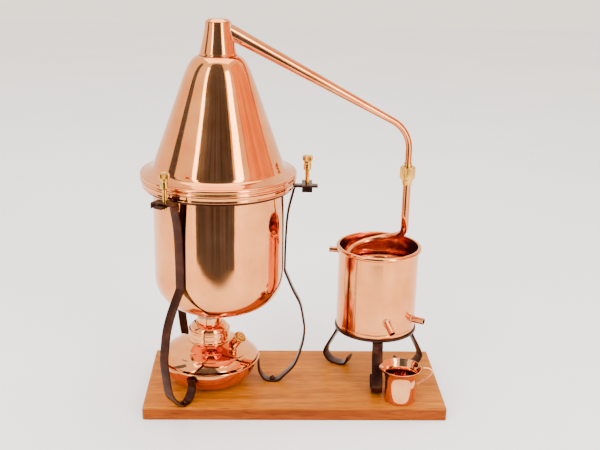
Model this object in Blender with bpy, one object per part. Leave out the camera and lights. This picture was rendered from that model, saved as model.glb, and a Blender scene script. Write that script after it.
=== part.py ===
"""Table-top copper alembic still on a wooden board, in metres, +Z up.

The origin is the middle of the board's underside.  The boiler stands on the left (-X), the worm
condenser on the right (+X), and the front of the still faces -Y.
"""
import math

import bmesh
import bpy
import numpy as np
from mathutils import Matrix, Vector

# --- fits -------------------------------------------------------------------------------------
GAP = 0.0003              # between pieces that touch
RUNNING = 0.0003          # radial play of a screw in its hole

# --- board ------------------------------------------------------------------------------------
BOARD_LENGTH = 0.360
BOARD_DEPTH = 0.157
BOARD_THICK = 0.0155
BOARD_CORNER = 0.0035
BOARD_BEVEL = 0.0022
TABLE = BOARD_THICK       # height of the surface that the still stands on

# --- where the things stand on the board ------------------------------------------------------
BOILER_X, BOILER_Y = -0.092, -0.006
BURNER_X, BURNER_Y = -0.105, 0.0005
CONDENSER_X, CONDENSER_Y = 0.101, 0.0165

# --- boiler -----------------------------------------------------------------------------------
SHEET = 0.0010            # copper sheet of the boiler and the helm
POT_RADIUS = 0.0765
POT_FLOOR = 0.114         # underside of the pot
POT_BELLY = 0.050         # height of the rounded bottom
POT_ROUNDNESS = 2.63      # exponent of the rounded bottom, 2 is an ellipse
RIM_FOOT = 0.2705         # underside of the pot's flange
RIM_WIDTH = 0.0128        # from the wall out to the upstanding edge
RIM_DEPTH = 0.0063
GASKET_PLAY = 0.0005      # beside the gasket in its gutter

# --- helm -------------------------------------------------------------------------------------
BEAD_OUT = 0.0012         # main bead beyond the flange's edge
ROLL_RADIUS = 0.0020      # upper roll of the brim
ROLL_RISE = 0.0064        # middle of the upper roll above the brim's underside
BRIM_HEIGHT = 0.0159      # from the brim's underside up to the foot of the cone
SPIGOT_DEPTH = 0.0150     # how far the helm's lip reaches down into the pot
SPIGOT_PLAY = 0.0006
SHOULDER_RADIUS = 0.0402
CONE_HEIGHT = 0.0982
SHOULDER_HEIGHT = 0.0267
CAP_RADIUS = 0.0212
CAP_TOP_RADIUS = 0.0142
CAP_HEIGHT = 0.0358
CAP_HOLLOW = 1.3          # exponent of the cap's slightly hollow side
LID_HEIGHT = 0.0033
LID_FLAT = 0.0102

# --- lyne arm and union -----------------------------------------------------------------------
ARM_REACH = 0.2250        # from the boiler's axis to the arm's upright end
ARM_ROOT_DROP = 0.0121    # arm's axis below the cap's top, on the cap's wall
ARM_SLOPE = math.radians(28.3)
ARM_BEND = 0.040
ARM_ROOT_RADIUS = 0.0084
ARM_END_RADIUS = 0.0040
ARM_WALL = 0.0010
ARM_POKE = 0.0050         # how far the arm reaches in through the cap's wall
UNION_FLATS = 0.0165
UNION_NUT_HEIGHT = 0.0154
UNION_NUT_FOOT = 0.2701
UNION_THREAD_OVER = 0.0020      # thread beyond the upper collar's tube
UNION_FLANGE = 0.0028
UNION_SEAT_HEIGHT = 0.0080      # face where the two collars meet, above the nut's foot
TAILPIECE_WALL = 0.0006
TAILPIECE_RISE = 0.0045         # how far the tailpiece stands above the nut
SEAT_WALL = 0.0007
SEAT_DROP = 0.0071              # how far the lower collar hangs below the nut

# --- worm -------------------------------------------------------------------------------------
WORM_INLET_RADIUS = 0.0048
WORM_RADIUS = 0.0040
WORM_WALL = 0.0008
COIL_CLEAR = 0.0058       # between the coil and the bucket's wall
COIL_TOP = 0.1865
COIL_FOOT = 0.116
COIL_PLUNGE = 0.0110      # extra fall at the start of the coil
COIL_PLUNGE_ANGLE = math.radians(70)
COIL_START = math.radians(62)
COIL_END = math.radians(235)
COIL_TURNS = 3            # full turns besides the stretch from COIL_START to COIL_END
INLET_BEND = 0.2245       # height where the inlet leg starts to bend into the coil
SPIRIT_AZIMUTH = math.radians(-80.4)
SPIRIT_TURN = math.radians(-66)
SPIRIT_FALL = math.radians(32)
SPIRIT_HEIGHT = 0.1045
SPIRIT_LENGTH = 0.0160

# --- condenser bucket -------------------------------------------------------------------------
BUCKET_RADIUS = 0.0488
BUCKET_WALL = 0.001
BUCKET_FOOT = 0.0833
BUCKET_BEAD = 0.0028
BUCKET_BEAD_HEIGHT = 0.1850     # middle of the rolled rim
OVERFLOW_AZIMUTH = math.radians(170)
OVERFLOW_HEIGHT = 0.1776
OVERFLOW_LENGTH = 0.0117
OVERFLOW_RADIUS = 0.0035
INLET_AZIMUTH = math.radians(-32)
INLET_HEIGHT = 0.1010
INLET_LENGTH = 0.0160
INLET_RADIUS = 0.0040
SPOUT_WALL = 0.0007
SPOUT_POKE = 0.0025

# --- boiler stand -----------------------------------------------------------------------------
RING_THICK = 0.0030
RING_PLAY = 0.0007        # between the pot's wall and the ring
RING_WIDTH = 0.0088
STRIP_THICK = 0.0025
STRIP_WIDTH = 0.0110
LEG_AZIMUTHS = {"right": math.radians(-1.5), "back": math.radians(122), "front": math.radians(-121.5)}
LEG_CURLS = {"right": 1, "back": 0, "front": 1}     # whether the foot ends in an upturned curl
LEG_STRAY = {"right": 0.0, "back": 0.0, "front": 0.0100}     # how much further out a foot is bent
LEG_OUT = 0.0270          # widest point of a leg beyond the pot's wall
LEG_WAIST = 0.0005        # between the pot's wall and the leg
FOOT_CLEAR = 0.0035       # foot screw beyond the burner's rim radius
CURL_TIP = 0.0272         # height of the curl's tip above the board
CURL_CLEAR = 0.0010       # between a curl and the burner's bowl
LUG_OVER = 0.0125         # lug beyond the clamp screw

# --- condenser stand --------------------------------------------------------------------------
TRIVET_THICK = 0.0030
TRIVET_WIDTH = 0.0095
TRIVET_OVER = 0.0017      # ring beyond the bucket's wall
TRIVET_STRIP_WIDTH = 0.0130
TRIVET_AZIMUTHS = {"left": math.radians(149), "front": math.radians(268), "right": math.radians(22)}

# --- clamps and screws ------------------------------------------------------------------------
CLAMP_CLEAR = 0.0120      # clamp screw beyond the helm's bead
CLAMP_SHANK = 0.0024
CLAMP_BARREL = 0.0046
CLAMP_HEAD = 0.0060
CLAMP_BARREL_FOOT = 0.2880
CLAMP_BARREL_HEIGHT = 0.0105
CLAMP_HEAD_HEIGHT = 0.0060
CLAW_LENGTH = 0.0300
CLAW_WIDTH = 0.0120
CLAW_THICK = 0.0020
CLAW_DROP = 0.0065
CLAW_BEND = 0.0020
FOOT_SCREW_SHANK = 0.0018
FOOT_SCREW_HEAD = 0.0034
FOOT_SCREW_HEAD_HEIGHT = 0.0036
FOOT_SCREW_LENGTH = 0.0090

# --- spirit burner ----------------------------------------------------------------------------
BURNER_BASE = 0.0320
BURNER_RIM = 0.0615
BURNER_RIM_HEIGHT = 0.0313      # above the board
BURNER_BEAD = 0.0013
BOWL_ROUNDNESS = 1.75           # exponents of the bowl's and the top's curves
TOP_ROUNDNESS = 1.50
TOP_RISE = 0.0285               # height the top's curve would reach on the axis
BURNER_SHEET = 0.0010
COLLAR_FLANGE = 0.0270
COLLAR_RADIUS = 0.0252
COLLAR_HEIGHT = 0.0135
DOME_RADIUS = 0.0232
DOME_HEIGHT = 0.0075
WICK_TUBE_RADIUS = 0.0147
WICK_TUBE_RISE = 0.0085         # above the dome
WICK_TUBE_DEPTH = 0.0300        # below the top of the dome
WICK_RISE = 0.0020
FILLER_RADIUS = 0.0058
FILLER_CAP_RADIUS = 0.0075
FILLER_CAP_THICK = 0.0024
FILLER_DIMPLE = 0.0014
FILLER_OFFSET = (0.0390, -0.0225, 0.0352)   # middle of the cap from the burner's axis and rim
FILLER_AZIMUTH = math.radians(-42)
FILLER_RISE = math.radians(50)

# --- cup --------------------------------------------------------------------------------------
CUP_RADIUS = 0.0182
CUP_RIM = 0.0245
CUP_HEIGHT = 0.0422
CUP_FLARE = 0.0175        # height of the flared top
CUP_WALL = 0.0009
CUP_LIP = 0.0024          # how far the pouring lip stands out
CUP_LIP_WIDTH = math.radians(34)
CUP_ASIDE = 0.0250        # from the condenser's axis, to the right
CUP_AHEAD = 0.0217        # in front of the bucket's wall
HANDLE_WIRE = 0.00125
HANDLE_REACH = 0.0130     # handle beyond the rim

# --- steps round a turned piece ---------------------------------------------------------------
LARGE, MEDIUM, SMALL = 32, 24, 14

# --- sizes that follow from the ones above -----------------------------------------------------
RIM_RADIUS = POT_RADIUS + RIM_WIDTH
RIM_TOP = RIM_FOOT + RIM_DEPTH
BRIM_FOOT = RIM_TOP + GAP
BEAD_RADIUS = RIM_RADIUS + BEAD_OUT
FOOT_RADIUS = POT_RADIUS - 0.0011
CONE_FOOT = BRIM_FOOT + BRIM_HEIGHT
CONE_TOP = CONE_FOOT + CONE_HEIGHT
HELM_TOP = CONE_TOP + SHOULDER_HEIGHT
CAP_FOOT = HELM_TOP + GAP
CAP_TOP = CAP_FOOT + CAP_HEIGHT
LID_FOOT = CAP_TOP + GAP
RING_TOP = RIM_FOOT - GAP
RING_FOOT = RING_TOP - RING_THICK
RING_INNER = POT_RADIUS + RING_PLAY
RING_OUTER = RING_INNER + RING_WIDTH
LUG_MIDDLE = RING_FOOT + STRIP_THICK / 2
SCREW_CIRCLE = BEAD_RADIUS + CLAMP_CLEAR
LUG_REACH = SCREW_CIRCLE + LUG_OVER
LEG_BULGE = POT_RADIUS + LEG_OUT
LEG_FOOT = BURNER_RIM + FOOT_CLEAR
FOOT_MIDDLE = TABLE + GAP + STRIP_THICK / 2
CLAW_MIDDLE = LUG_MIDDLE + STRIP_THICK / 2 + GAP + CLAW_THICK / 2
TRIVET_TOP = BUCKET_FOOT - GAP
TRIVET_FOOT = TRIVET_TOP - TRIVET_THICK
TRIVET_OUTER = BUCKET_RADIUS + TRIVET_OVER
BURNER_FOOT = TABLE + GAP
BURNER_LIP = TABLE + BURNER_RIM_HEIGHT
DOME_CLEAR = WICK_TUBE_RADIUS + GAP
CUP_FOOT = TABLE + GAP
CUP_TOP = CUP_FOOT + CUP_HEIGHT
COIL_RADIUS = BUCKET_RADIUS - BUCKET_WALL - COIL_CLEAR - WORM_RADIUS
ARM_TURN = math.atan2(CONDENSER_Y - BOILER_Y, CONDENSER_X - BOILER_X)
UNION_NUT_TOP = UNION_NUT_FOOT + UNION_NUT_HEIGHT
UNION_JOINT = UNION_NUT_FOOT + UNION_SEAT_HEIGHT
TAILPIECE_RADIUS = ARM_END_RADIUS + GAP + TAILPIECE_WALL
THREAD_RADIUS = TAILPIECE_RADIUS + UNION_THREAD_OVER
SEAT_RADIUS = WORM_INLET_RADIUS + GAP + SEAT_WALL

BOILER = Vector((BOILER_X, BOILER_Y, 0))
BURNER = Vector((BURNER_X, BURNER_Y, 0))
CONDENSER = Vector((CONDENSER_X, CONDENSER_Y, 0))
CUP = Vector((CONDENSER_X + CUP_ASIDE, CONDENSER_Y - BUCKET_RADIUS - CUP_AHEAD, 0))
UNION = BOILER + ARM_REACH * Vector((math.cos(ARM_TURN), math.sin(ARM_TURN), 0))


# --- materials --------------------------------------------------------------------------------
def material(name, colour, metallic, roughness):
    made = bpy.data.materials.new(name)
    made.use_nodes = True
    shader = made.node_tree.nodes["Principled BSDF"]
    shader.inputs["Base Color"].default_value = (*colour, 1)
    shader.inputs["Metallic"].default_value = metallic
    shader.inputs["Roughness"].default_value = roughness
    return made


FINISHES = {
    "copper": ((0.86, 0.45, 0.28), 1.0, 0.14),
    "brass": ((0.80, 0.60, 0.26), 1.0, 0.22),
    "iron": ((0.10, 0.065, 0.05), 0.6, 0.38),
    "wood": ((0.55, 0.25, 0.09), 0.0, 0.45),
    "seal": ((0.16, 0.14, 0.12), 0.0, 0.80),
    "cotton": ((0.85, 0.80, 0.70), 0.0, 0.90),
}


# --- making objects ---------------------------------------------------------------------------
def add(name, mesh, finish, place=(0, 0, 0), sharp=35):
    """Link a finished bmesh as one named object with its own material."""
    bmesh.ops.recalc_face_normals(mesh, faces=mesh.faces)
    data = bpy.data.meshes.new(name)
    mesh.to_mesh(data)
    mesh.free()
    data.materials.append(material(name + "_finish", *FINISHES[finish]))
    data.shade_smooth()
    data.set_sharp_from_angle(angle=math.radians(sharp))
    piece = bpy.data.objects.new(name, data)
    piece.location = place
    bpy.context.scene.collection.objects.link(piece)
    return piece


def turned(outline, steps):
    """Spin an outline of (radius, height) points round Z.

    The outline is the closed edge of a wall's cross-section, or runs from the axis to the axis.
    """
    mesh = bmesh.new()
    points = [mesh.verts.new((radius, 0, height)) for radius, height in outline]
    pairs = list(zip(points, points[1:]))
    if outline[0][0] > 0:
        pairs.append((points[-1], points[0]))
    edges = [mesh.edges.new(pair) for pair in pairs]
    bmesh.ops.spin(mesh, geom=points + edges, cent=(0, 0, 0), axis=(0, 0, 1),
                   angle=2 * math.pi, steps=steps, use_merge=True)
    bmesh.ops.remove_doubles(mesh, verts=mesh.verts, dist=1e-6)
    return mesh


def bridge(mesh, rings):
    """Faces between each ring of vertices and the next."""
    count = len(rings[0])
    for low, high in zip(rings, rings[1:]):
        for i in range(count):
            j = (i + 1) % count
            mesh.faces.new((low[i], low[j], high[j], high[i]))


def swept(sections):
    """A solid through a run of equal-length rings of points, capped at both ends."""
    mesh = bmesh.new()
    rings = [[mesh.verts.new(point) for point in ring] for ring in sections]
    bridge(mesh, rings)
    mesh.faces.new(list(reversed(rings[0])))
    mesh.faces.new(rings[-1])
    return mesh


def frames(path):
    """Carry a square pair of side directions along a path without twisting it."""
    path = [Vector(point) for point in path]
    ahead = [(path[min(i + 1, len(path) - 1)] - path[max(i - 1, 0)]).normalized()
             for i in range(len(path))]
    side = ahead[0].orthogonal().normalized()
    result = []
    for point, tangent in zip(path, ahead):
        side = (side - side.dot(tangent) * tangent).normalized()
        result.append((point, side, tangent.cross(side)))
    return result


def round_sections(path, radii, sides):
    """Rings of points round a path, one radius for each point of the path."""
    turns = [2 * math.pi * i / sides for i in range(sides)]
    return [[point + radius * (math.cos(a) * side + math.sin(a) * up) for a in turns]
            for (point, side, up), radius in zip(frames(path), radii)]


def pipe(path, radii, wall, sides):
    """An open-ended round pipe: up the outer skin, over the rim and back down the bore."""
    mesh = bmesh.new()
    outer = round_sections(path, radii, sides)
    bore = round_sections(path, [radius - wall for radius in radii], sides)
    rings = [[mesh.verts.new(point) for point in ring] for ring in outer + bore[::-1]]
    bridge(mesh, rings + rings[:1])
    return mesh


def smooth_path(points, per_span):
    """A Catmull-Rom curve through the points, which may have two or three coordinates."""
    points = [np.array(point, float) for point in points]
    ends = [2 * points[0] - points[1]] + points + [2 * points[-1] - points[-2]]
    curve = []
    for a, b, c, d in zip(ends, ends[1:], ends[2:], ends[3:]):
        for i in range(per_span):
            t = i / per_span
            curve.append(0.5 * (2 * b + (c - a) * t + (2 * a - 5 * b + 4 * c - d) * t * t
                                + (3 * b - a - 3 * c + d) * t ** 3))
    curve.append(points[-1])
    return curve


def bezier(a, b, c, d, count):
    """Points along a cubic Bezier curve, both ends included."""
    a, b, c, d = (np.array(point, float) for point in (a, b, c, d))
    return [(1 - t) ** 3 * a + 3 * (1 - t) ** 2 * t * b + 3 * (1 - t) * t * t * c + t ** 3 * d
            for t in np.linspace(0, 1, count)]


def arc(middle, radius, start, end, count):
    """Points along an arc in the plane of radius and height, angles in degrees."""
    return [(middle[0] + radius * math.cos(math.radians(a)), middle[1] + radius * math.sin(math.radians(a)))
            for a in np.linspace(start, end, count)]


def direction(azimuth, rise=0.0):
    return Vector((math.cos(azimuth) * math.cos(rise), math.sin(azimuth) * math.cos(rise), math.sin(rise)))


def strip(path, width, thick, azimuth):
    """A flat strip bent in the upright plane at an azimuth; the path is (radius, height)."""
    out = direction(azimuth)
    across = Vector((-out.y, out.x, 0))
    path = [Vector((point[0], point[1])) for point in path]
    sections = []
    for i, point in enumerate(path):
        ahead = (path[min(i + 1, len(path) - 1)] - path[max(i - 1, 0)]).normalized()
        normal = Vector((ahead.y, -ahead.x))
        ring = []
        for face, edge in ((1, -1), (1, 1), (-1, 1), (-1, -1)):
            spot = point + normal * face * thick / 2
            ring.append(out * spot.x + Vector((0, 0, spot.y)) + across * edge * width / 2)
        sections.append(ring)
    return swept(sections)


def rod(radius, start, end, sides=SMALL):
    """A straight round rod between two points."""
    start, end = Vector(start), Vector(end)
    mesh = bmesh.new()
    turn = (end - start).to_track_quat("Z", "Y").to_matrix().to_4x4()
    place = Matrix.Translation((start + end) / 2) @ turn
    bmesh.ops.create_cone(mesh, cap_ends=True, segments=sides, radius1=radius, radius2=radius,
                          depth=(end - start).length, matrix=place)
    return mesh


def upright_rod(radius, spot, low, high, sides=SMALL):
    return rod(radius, (spot.x, spot.y, low), (spot.x, spot.y, high), sides)


def cut(piece, cutters):
    """Take cutters out of a piece with an exact Boolean, and keep them out of the build."""
    for number, mesh in enumerate(cutters):
        cutter = add(f"{piece.name}_cutter_{number}", mesh, "seal")
        cutter.hide_render = True
        cutter.display_type = "WIRE"
        modifier = piece.modifiers.new(f"cut_{number}", "BOOLEAN")
        modifier.operation = "DIFFERENCE"
        modifier.solver = "EXACT"
        modifier.object = cutter


# --- board ------------------------------------------------------------------------------------
def foot_screw_spot(side):
    return BOILER + (LEG_FOOT + LEG_STRAY[side]) * direction(LEG_AZIMUTHS[side])


def make_board():
    mesh = bmesh.new()
    bmesh.ops.create_cube(mesh, size=1.0)
    bmesh.ops.scale(mesh, vec=(BOARD_LENGTH, BOARD_DEPTH, BOARD_THICK), verts=mesh.verts)
    bmesh.ops.translate(mesh, vec=(0, 0, BOARD_THICK / 2), verts=mesh.verts)
    upright = [e for e in mesh.edges if abs(e.verts[0].co.z - e.verts[1].co.z) > BOARD_THICK / 2]
    bmesh.ops.bevel(mesh, geom=upright, offset=BOARD_CORNER, segments=4, profile=0.5, affect="EDGES")
    top = [e for e in mesh.edges if min(v.co.z for v in e.verts) > BOARD_THICK - 1e-6]
    bmesh.ops.bevel(mesh, geom=top, offset=BOARD_BEVEL, segments=2, profile=0.5, affect="EDGES")
    board = add("base_board", mesh, "wood")
    low = TABLE - FOOT_SCREW_LENGTH - GAP
    cut(board, [upright_rod(FOOT_SCREW_SHANK + RUNNING, foot_screw_spot(side), low, TABLE + 0.002)
                for side in LEG_AZIMUTHS])


# --- boiler stand -----------------------------------------------------------------------------
def bowl_radius(height):
    """The burner bowl's outer radius at a height."""
    share = (BURNER_LIP - BURNER_BEAD / 2 - height) / (BURNER_LIP - BURNER_BEAD / 2 - BURNER_FOOT)
    level = math.asin(min(max(share, 0.0), 1.0) ** (BOWL_ROUNDNESS / 2))
    reach = BURNER_RIM - 2 * BURNER_BEAD - BURNER_BASE
    return BURNER_BASE + reach * math.cos(level) ** (2 / BOWL_ROUNDNESS)


def curl_radius(radius, height, azimuth):
    """A curl's own radius, pushed out where the burner's bowl would be in the way."""
    offset = BURNER - BOILER
    along = offset.dot(direction(azimuth))
    aside = max(math.sqrt(offset.length_squared - along * along) - STRIP_WIDTH / 2, 0.0)
    bowl = along + math.sqrt(max(bowl_radius(height) ** 2 - aside * aside, 0.0))
    return max(radius, bowl + STRIP_THICK / 2 + CURL_CLEAR)


def pot_leg_path(side, azimuth):
    """Centre line of a leg: lug, down the pot's side, out round the burner, foot and curl."""
    foot = LEG_FOOT + LEG_STRAY[side]
    bulge = LEG_BULGE + 0.7 * LEG_STRAY[side]
    waist = POT_RADIUS + LEG_WAIST + STRIP_THICK / 2
    neck = RING_OUTER + GAP + STRIP_THICK / 2
    lug = [(LUG_REACH, LUG_MIDDLE), (neck + 0.0030, LUG_MIDDLE)]
    bend = arc((neck + 0.0030, LUG_MIDDLE - 0.0030), 0.0030, 112, 165, 3)
    down = smooth_path([bend[-1], (waist + 0.0025, 0.2339), (waist + 0.0004, 0.1966), (waist, 0.1630)], 2)
    outward = smooth_path([(waist, 0.1630), (bulge - 0.0155, 0.1400), (bulge - 0.0060, 0.1205),
                           (bulge - 0.0014, 0.0985), (bulge, 0.0856), (bulge - 0.0025, 0.0663),
                           (foot + 0.0272, 0.0400), (foot + 0.0134, 0.0238),
                           (foot + 0.0080, FOOT_MIDDLE + 0.0014), (foot + 0.0040, FOOT_MIDDLE)], 3)
    path = lug + bend + down[1:] + outward[1:] + [(foot - 0.0042, FOOT_MIDDLE)]
    if LEG_CURLS[side]:
        curl = [(foot - 0.0108, TABLE + 0.0050), (foot - 0.0164, TABLE + 0.0155),
                (foot - 0.0175, TABLE + CURL_TIP)]
        curl = [(curl_radius(radius, height, azimuth), height) for radius, height in curl]
        path += smooth_path([path[-1]] + curl, 3)[1:]
    else:
        path.append((foot - 0.0060, FOOT_MIDDLE))
    return path


def make_pot_stand():
    add("pot_stand_ring", turned([(RING_INNER, RING_FOOT), (RING_OUTER, RING_FOOT),
                                  (RING_OUTER, RING_TOP), (RING_INNER, RING_TOP)], LARGE), "iron", BOILER)
    for side, azimuth in LEG_AZIMUTHS.items():
        path = pot_leg_path(side, azimuth)
        leg = add("pot_leg_" + side, strip(path, STRIP_WIDTH, STRIP_THICK, azimuth), "iron", BOILER)
        clamp = BOILER + SCREW_CIRCLE * direction(azimuth)
        foot = foot_screw_spot(side)
        cut(leg, [upright_rod(CLAMP_SHANK + RUNNING, clamp, LUG_MIDDLE - 0.005, LUG_MIDDLE + 0.005),
                  upright_rod(FOOT_SCREW_SHANK + RUNNING, foot, TABLE - 0.002, TABLE + 0.006)])
        make_foot_screw(side, foot)
        make_clamp(side, azimuth, clamp)


def make_foot_screw(side, foot):
    """Round-head wood screw through the foot of a leg into the board."""
    seat = FOOT_MIDDLE + STRIP_THICK / 2 + GAP
    tip = TABLE - FOOT_SCREW_LENGTH
    outline = [(0, tip), (FOOT_SCREW_SHANK, tip + 0.0025), (FOOT_SCREW_SHANK, seat), (FOOT_SCREW_HEAD, seat)]
    outline += [(FOOT_SCREW_HEAD * math.cos(a), seat + FOOT_SCREW_HEAD_HEIGHT * math.sin(a))
                for a in (0.4, 0.8, 1.2)]
    outline.append((0, seat + FOOT_SCREW_HEAD_HEIGHT))
    add("foot_screw_" + side, turned(outline, 12), "iron", foot)


def make_clamp(side, azimuth, clamp):
    """Claw with both ends turned down, and the brass thumbscrew through it and the lug."""
    end = CLAW_LENGTH / 2 - CLAW_THICK / 2
    half = [(end, CLAW_MIDDLE - CLAW_DROP)]
    half += arc((end - CLAW_BEND, CLAW_MIDDLE - CLAW_BEND), CLAW_BEND, 0, 90, 4)
    path = half + [(-x, z) for x, z in reversed(half)]
    claw = add("clamp_claw_" + side, strip(path, CLAW_WIDTH, CLAW_THICK, 0.0), "iron", clamp)
    claw.rotation_euler.z = azimuth + math.pi / 2
    cut(claw, [upright_rod(CLAMP_SHANK + 2 * RUNNING, clamp, CLAW_MIDDLE - 0.004, CLAW_MIDDLE + 0.004)])
    barrel_top = CLAMP_BARREL_FOOT + CLAMP_BARREL_HEIGHT
    head_top = barrel_top + CLAMP_HEAD_HEIGHT
    tip = LUG_MIDDLE - STRIP_THICK / 2 - 0.0040
    outline = [(0, tip), (CLAMP_SHANK - 0.0006, tip), (CLAMP_SHANK, tip + 0.0008),
               (CLAMP_SHANK, CLAMP_BARREL_FOOT - 0.0016), (CLAMP_BARREL, CLAMP_BARREL_FOOT),
               (CLAMP_BARREL, barrel_top), (CLAMP_HEAD, barrel_top + 0.0006), (CLAMP_HEAD, head_top - 0.0008),
               (CLAMP_HEAD - 0.0008, head_top), (CLAMP_HEAD - 0.0018, head_top - 0.0006),
               (0, head_top - 0.0006)]
    add("thumbscrew_" + side, turned(outline, SMALL), "brass", clamp)


# --- boiler pot, gasket and helm --------------------------------------------------------------
def belly(radius, floor, height, count):
    """Quarter of a superellipse, from the middle of the floor up to the wall."""
    power = 2 / POT_ROUNDNESS
    angles = np.linspace(math.pi / 2, 0, count)[1:]
    points = [(radius * math.cos(a) ** power, floor + height - height * math.sin(a) ** power) for a in angles]
    return [(0, floor)] + points


def make_pot():
    """Pot with a flange at the top and a low wall round it that keeps the gasket in."""
    wall = POT_RADIUS - SHEET
    gutter = RIM_FOOT + SHEET
    outline = belly(POT_RADIUS, POT_FLOOR, POT_BELLY, 9)
    outline += [(POT_RADIUS, RIM_FOOT), (RIM_RADIUS - 0.0006, RIM_FOOT), (RIM_RADIUS, RIM_FOOT + 0.0006),
                (RIM_RADIUS - 0.0002, RIM_FOOT + RIM_DEPTH * 0.5), (RIM_RADIUS + 0.0006, RIM_TOP),
                (RIM_RADIUS + 0.0006 - SHEET, RIM_TOP), (RIM_RADIUS - SHEET, RIM_TOP - 0.0006),
                (RIM_RADIUS - SHEET, gutter), (wall + 0.0006, gutter), (wall, gutter - 0.0006)]
    outline += belly(wall, POT_FLOOR + SHEET, POT_BELLY - SHEET, 9)[::-1]
    add("pot", turned(outline, LARGE), "copper", BOILER)
    inner, outer = wall + SHEET + GASKET_PLAY, RIM_RADIUS - SHEET - GASKET_PLAY
    top = BRIM_FOOT - GAP
    section = [(inner, gutter + GAP), (outer, gutter + GAP), (outer, top), (inner, top)]
    add("rim_gasket", turned(section, LARGE), "seal", BOILER)


def shoulder(inset, count):
    """The helm's rounded shoulder, from the cone's top in to the neck."""
    slope = np.array((SHOULDER_RADIUS - FOOT_RADIUS, CONE_HEIGHT))
    slope /= np.linalg.norm(slope)
    inward = np.array((-slope[1], slope[0]))
    start = np.array((SHOULDER_RADIUS, CONE_TOP)) + inset * inward
    end = np.array((CAP_RADIUS - inset, HELM_TOP - inset))
    reach = SHOULDER_HEIGHT * 0.85
    return bezier(start, start + slope * reach, end + np.array((0.0054, -0.0014)), end, count)


def make_helm():
    """Helm: straight cone and shoulder, double-walled brim open to the inside, lip into the pot."""
    spigot = POT_RADIUS - SHEET - SPIGOT_PLAY
    lip = BRIM_FOOT - SPIGOT_DEPTH
    roll = (RIM_RADIUS - 0.0008, BRIM_FOOT + ROLL_RISE)
    channel = RIM_RADIUS - 0.0028
    flare = [(FOOT_RADIUS, CONE_FOOT), (FOOT_RADIUS + 0.0017, CONE_FOOT - 0.0028),
             (FOOT_RADIUS + 0.0046, CONE_FOOT - 0.0045), (FOOT_RADIUS + 0.0115, CONE_FOOT - 0.0073)]
    outline = shoulder(0.0, 7)[::-1] + flare
    outline += arc(roll, ROLL_RADIUS, 80, -70, 5)
    outline += [(BEAD_RADIUS - 0.0004, BRIM_FOOT + 0.0026), (BEAD_RADIUS, BRIM_FOOT + 0.0008),
                (BEAD_RADIUS - 0.0004, BRIM_FOOT), (spigot, BRIM_FOOT), (spigot, lip), (spigot - SHEET, lip),
                (spigot - SHEET, BRIM_FOOT + SHEET), (channel, BRIM_FOOT + SHEET),
                (channel, CONE_FOOT - 0.0073 - SHEET)]
    outline += [(radius - 0.6 * SHEET, height - SHEET) for radius, height in flare[2:0:-1]]
    outline += [(FOOT_RADIUS - SHEET, CONE_FOOT - 0.0004)]
    outline += shoulder(SHEET, 7)
    add("helm_cone", turned([tuple(point) for point in outline], LARGE), "copper", BOILER)

    side = [(cap_radius(t), CAP_FOOT + CAP_HEIGHT * t) for t in (0.12, 0.3, 0.6, 1.0)]
    outline = [(CAP_RADIUS + 0.0010, CAP_FOOT)] + side
    outline += [(radius - SHEET, height) for radius, height in side[::-1]] + [(CAP_RADIUS - SHEET, CAP_FOOT)]
    cap = add("helm_cap", turned(outline, MEDIUM), "copper", BOILER)
    path, radii = arm_path()
    root, ahead = BOILER + path[0], (path[1] - path[0]).normalized()
    cut(cap, [rod(radii[0] + RUNNING, root - 0.004 * ahead, root + 0.030 * ahead, 24)])

    lid = [(0, LID_FOOT), (CAP_TOP_RADIUS, LID_FOOT), (CAP_TOP_RADIUS, LID_FOOT + 0.0006),
           (LID_FLAT, LID_FOOT + LID_HEIGHT), (0, LID_FOOT + LID_HEIGHT)]
    add("helm_lid", turned(lid, MEDIUM), "copper", BOILER)


def cap_radius(share):
    """The cap's outer radius at a share of its height."""
    return CAP_TOP_RADIUS + (CAP_RADIUS - CAP_TOP_RADIUS) * (1 - share) ** CAP_HOLLOW


# --- lyne arm and union -----------------------------------------------------------------------
def arm_path():
    """Axis of the arm from the boiler's axis: sloping run, bend, upright end; and its radii."""
    root = Vector((cap_radius(1 - ARM_ROOT_DROP / CAP_HEIGHT), CAP_TOP - ARM_ROOT_DROP))
    fall = Vector((math.cos(ARM_SLOPE), -math.sin(ARM_SLOPE)))
    turn = math.pi / 2 - ARM_SLOPE
    setback = ARM_BEND * math.tan(turn / 2)
    corner = root + fall * ((ARM_REACH - root.x) / fall.x)
    start, bend_start = root - fall * ARM_POKE, corner - fall * setback
    centre = Vector((ARM_REACH - ARM_BEND, corner.y - setback))
    run = [start + (bend_start - start) * i / 5 for i in range(6)]
    bend = [centre + ARM_BEND * Vector((math.cos(a), math.sin(a))) for a in np.linspace(turn, 0, 8)[1:]]
    points = run + bend + [Vector((ARM_REACH, UNION_JOINT + GAP))]
    length = (bend_start - root).length
    shares = [min(max((point - root).dot(fall) / length, 0), 1) for point in points]
    radii = [ARM_ROOT_RADIUS + (ARM_END_RADIUS - ARM_ROOT_RADIUS) * share for share in shares]
    return [direction(ARM_TURN) * point.x + Vector((0, 0, point.y)) for point in points], radii


def make_arm():
    path, radii = arm_path()
    add("lyne_arm", pipe(path, radii, ARM_WALL, 14), "copper", BOILER)


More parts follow.
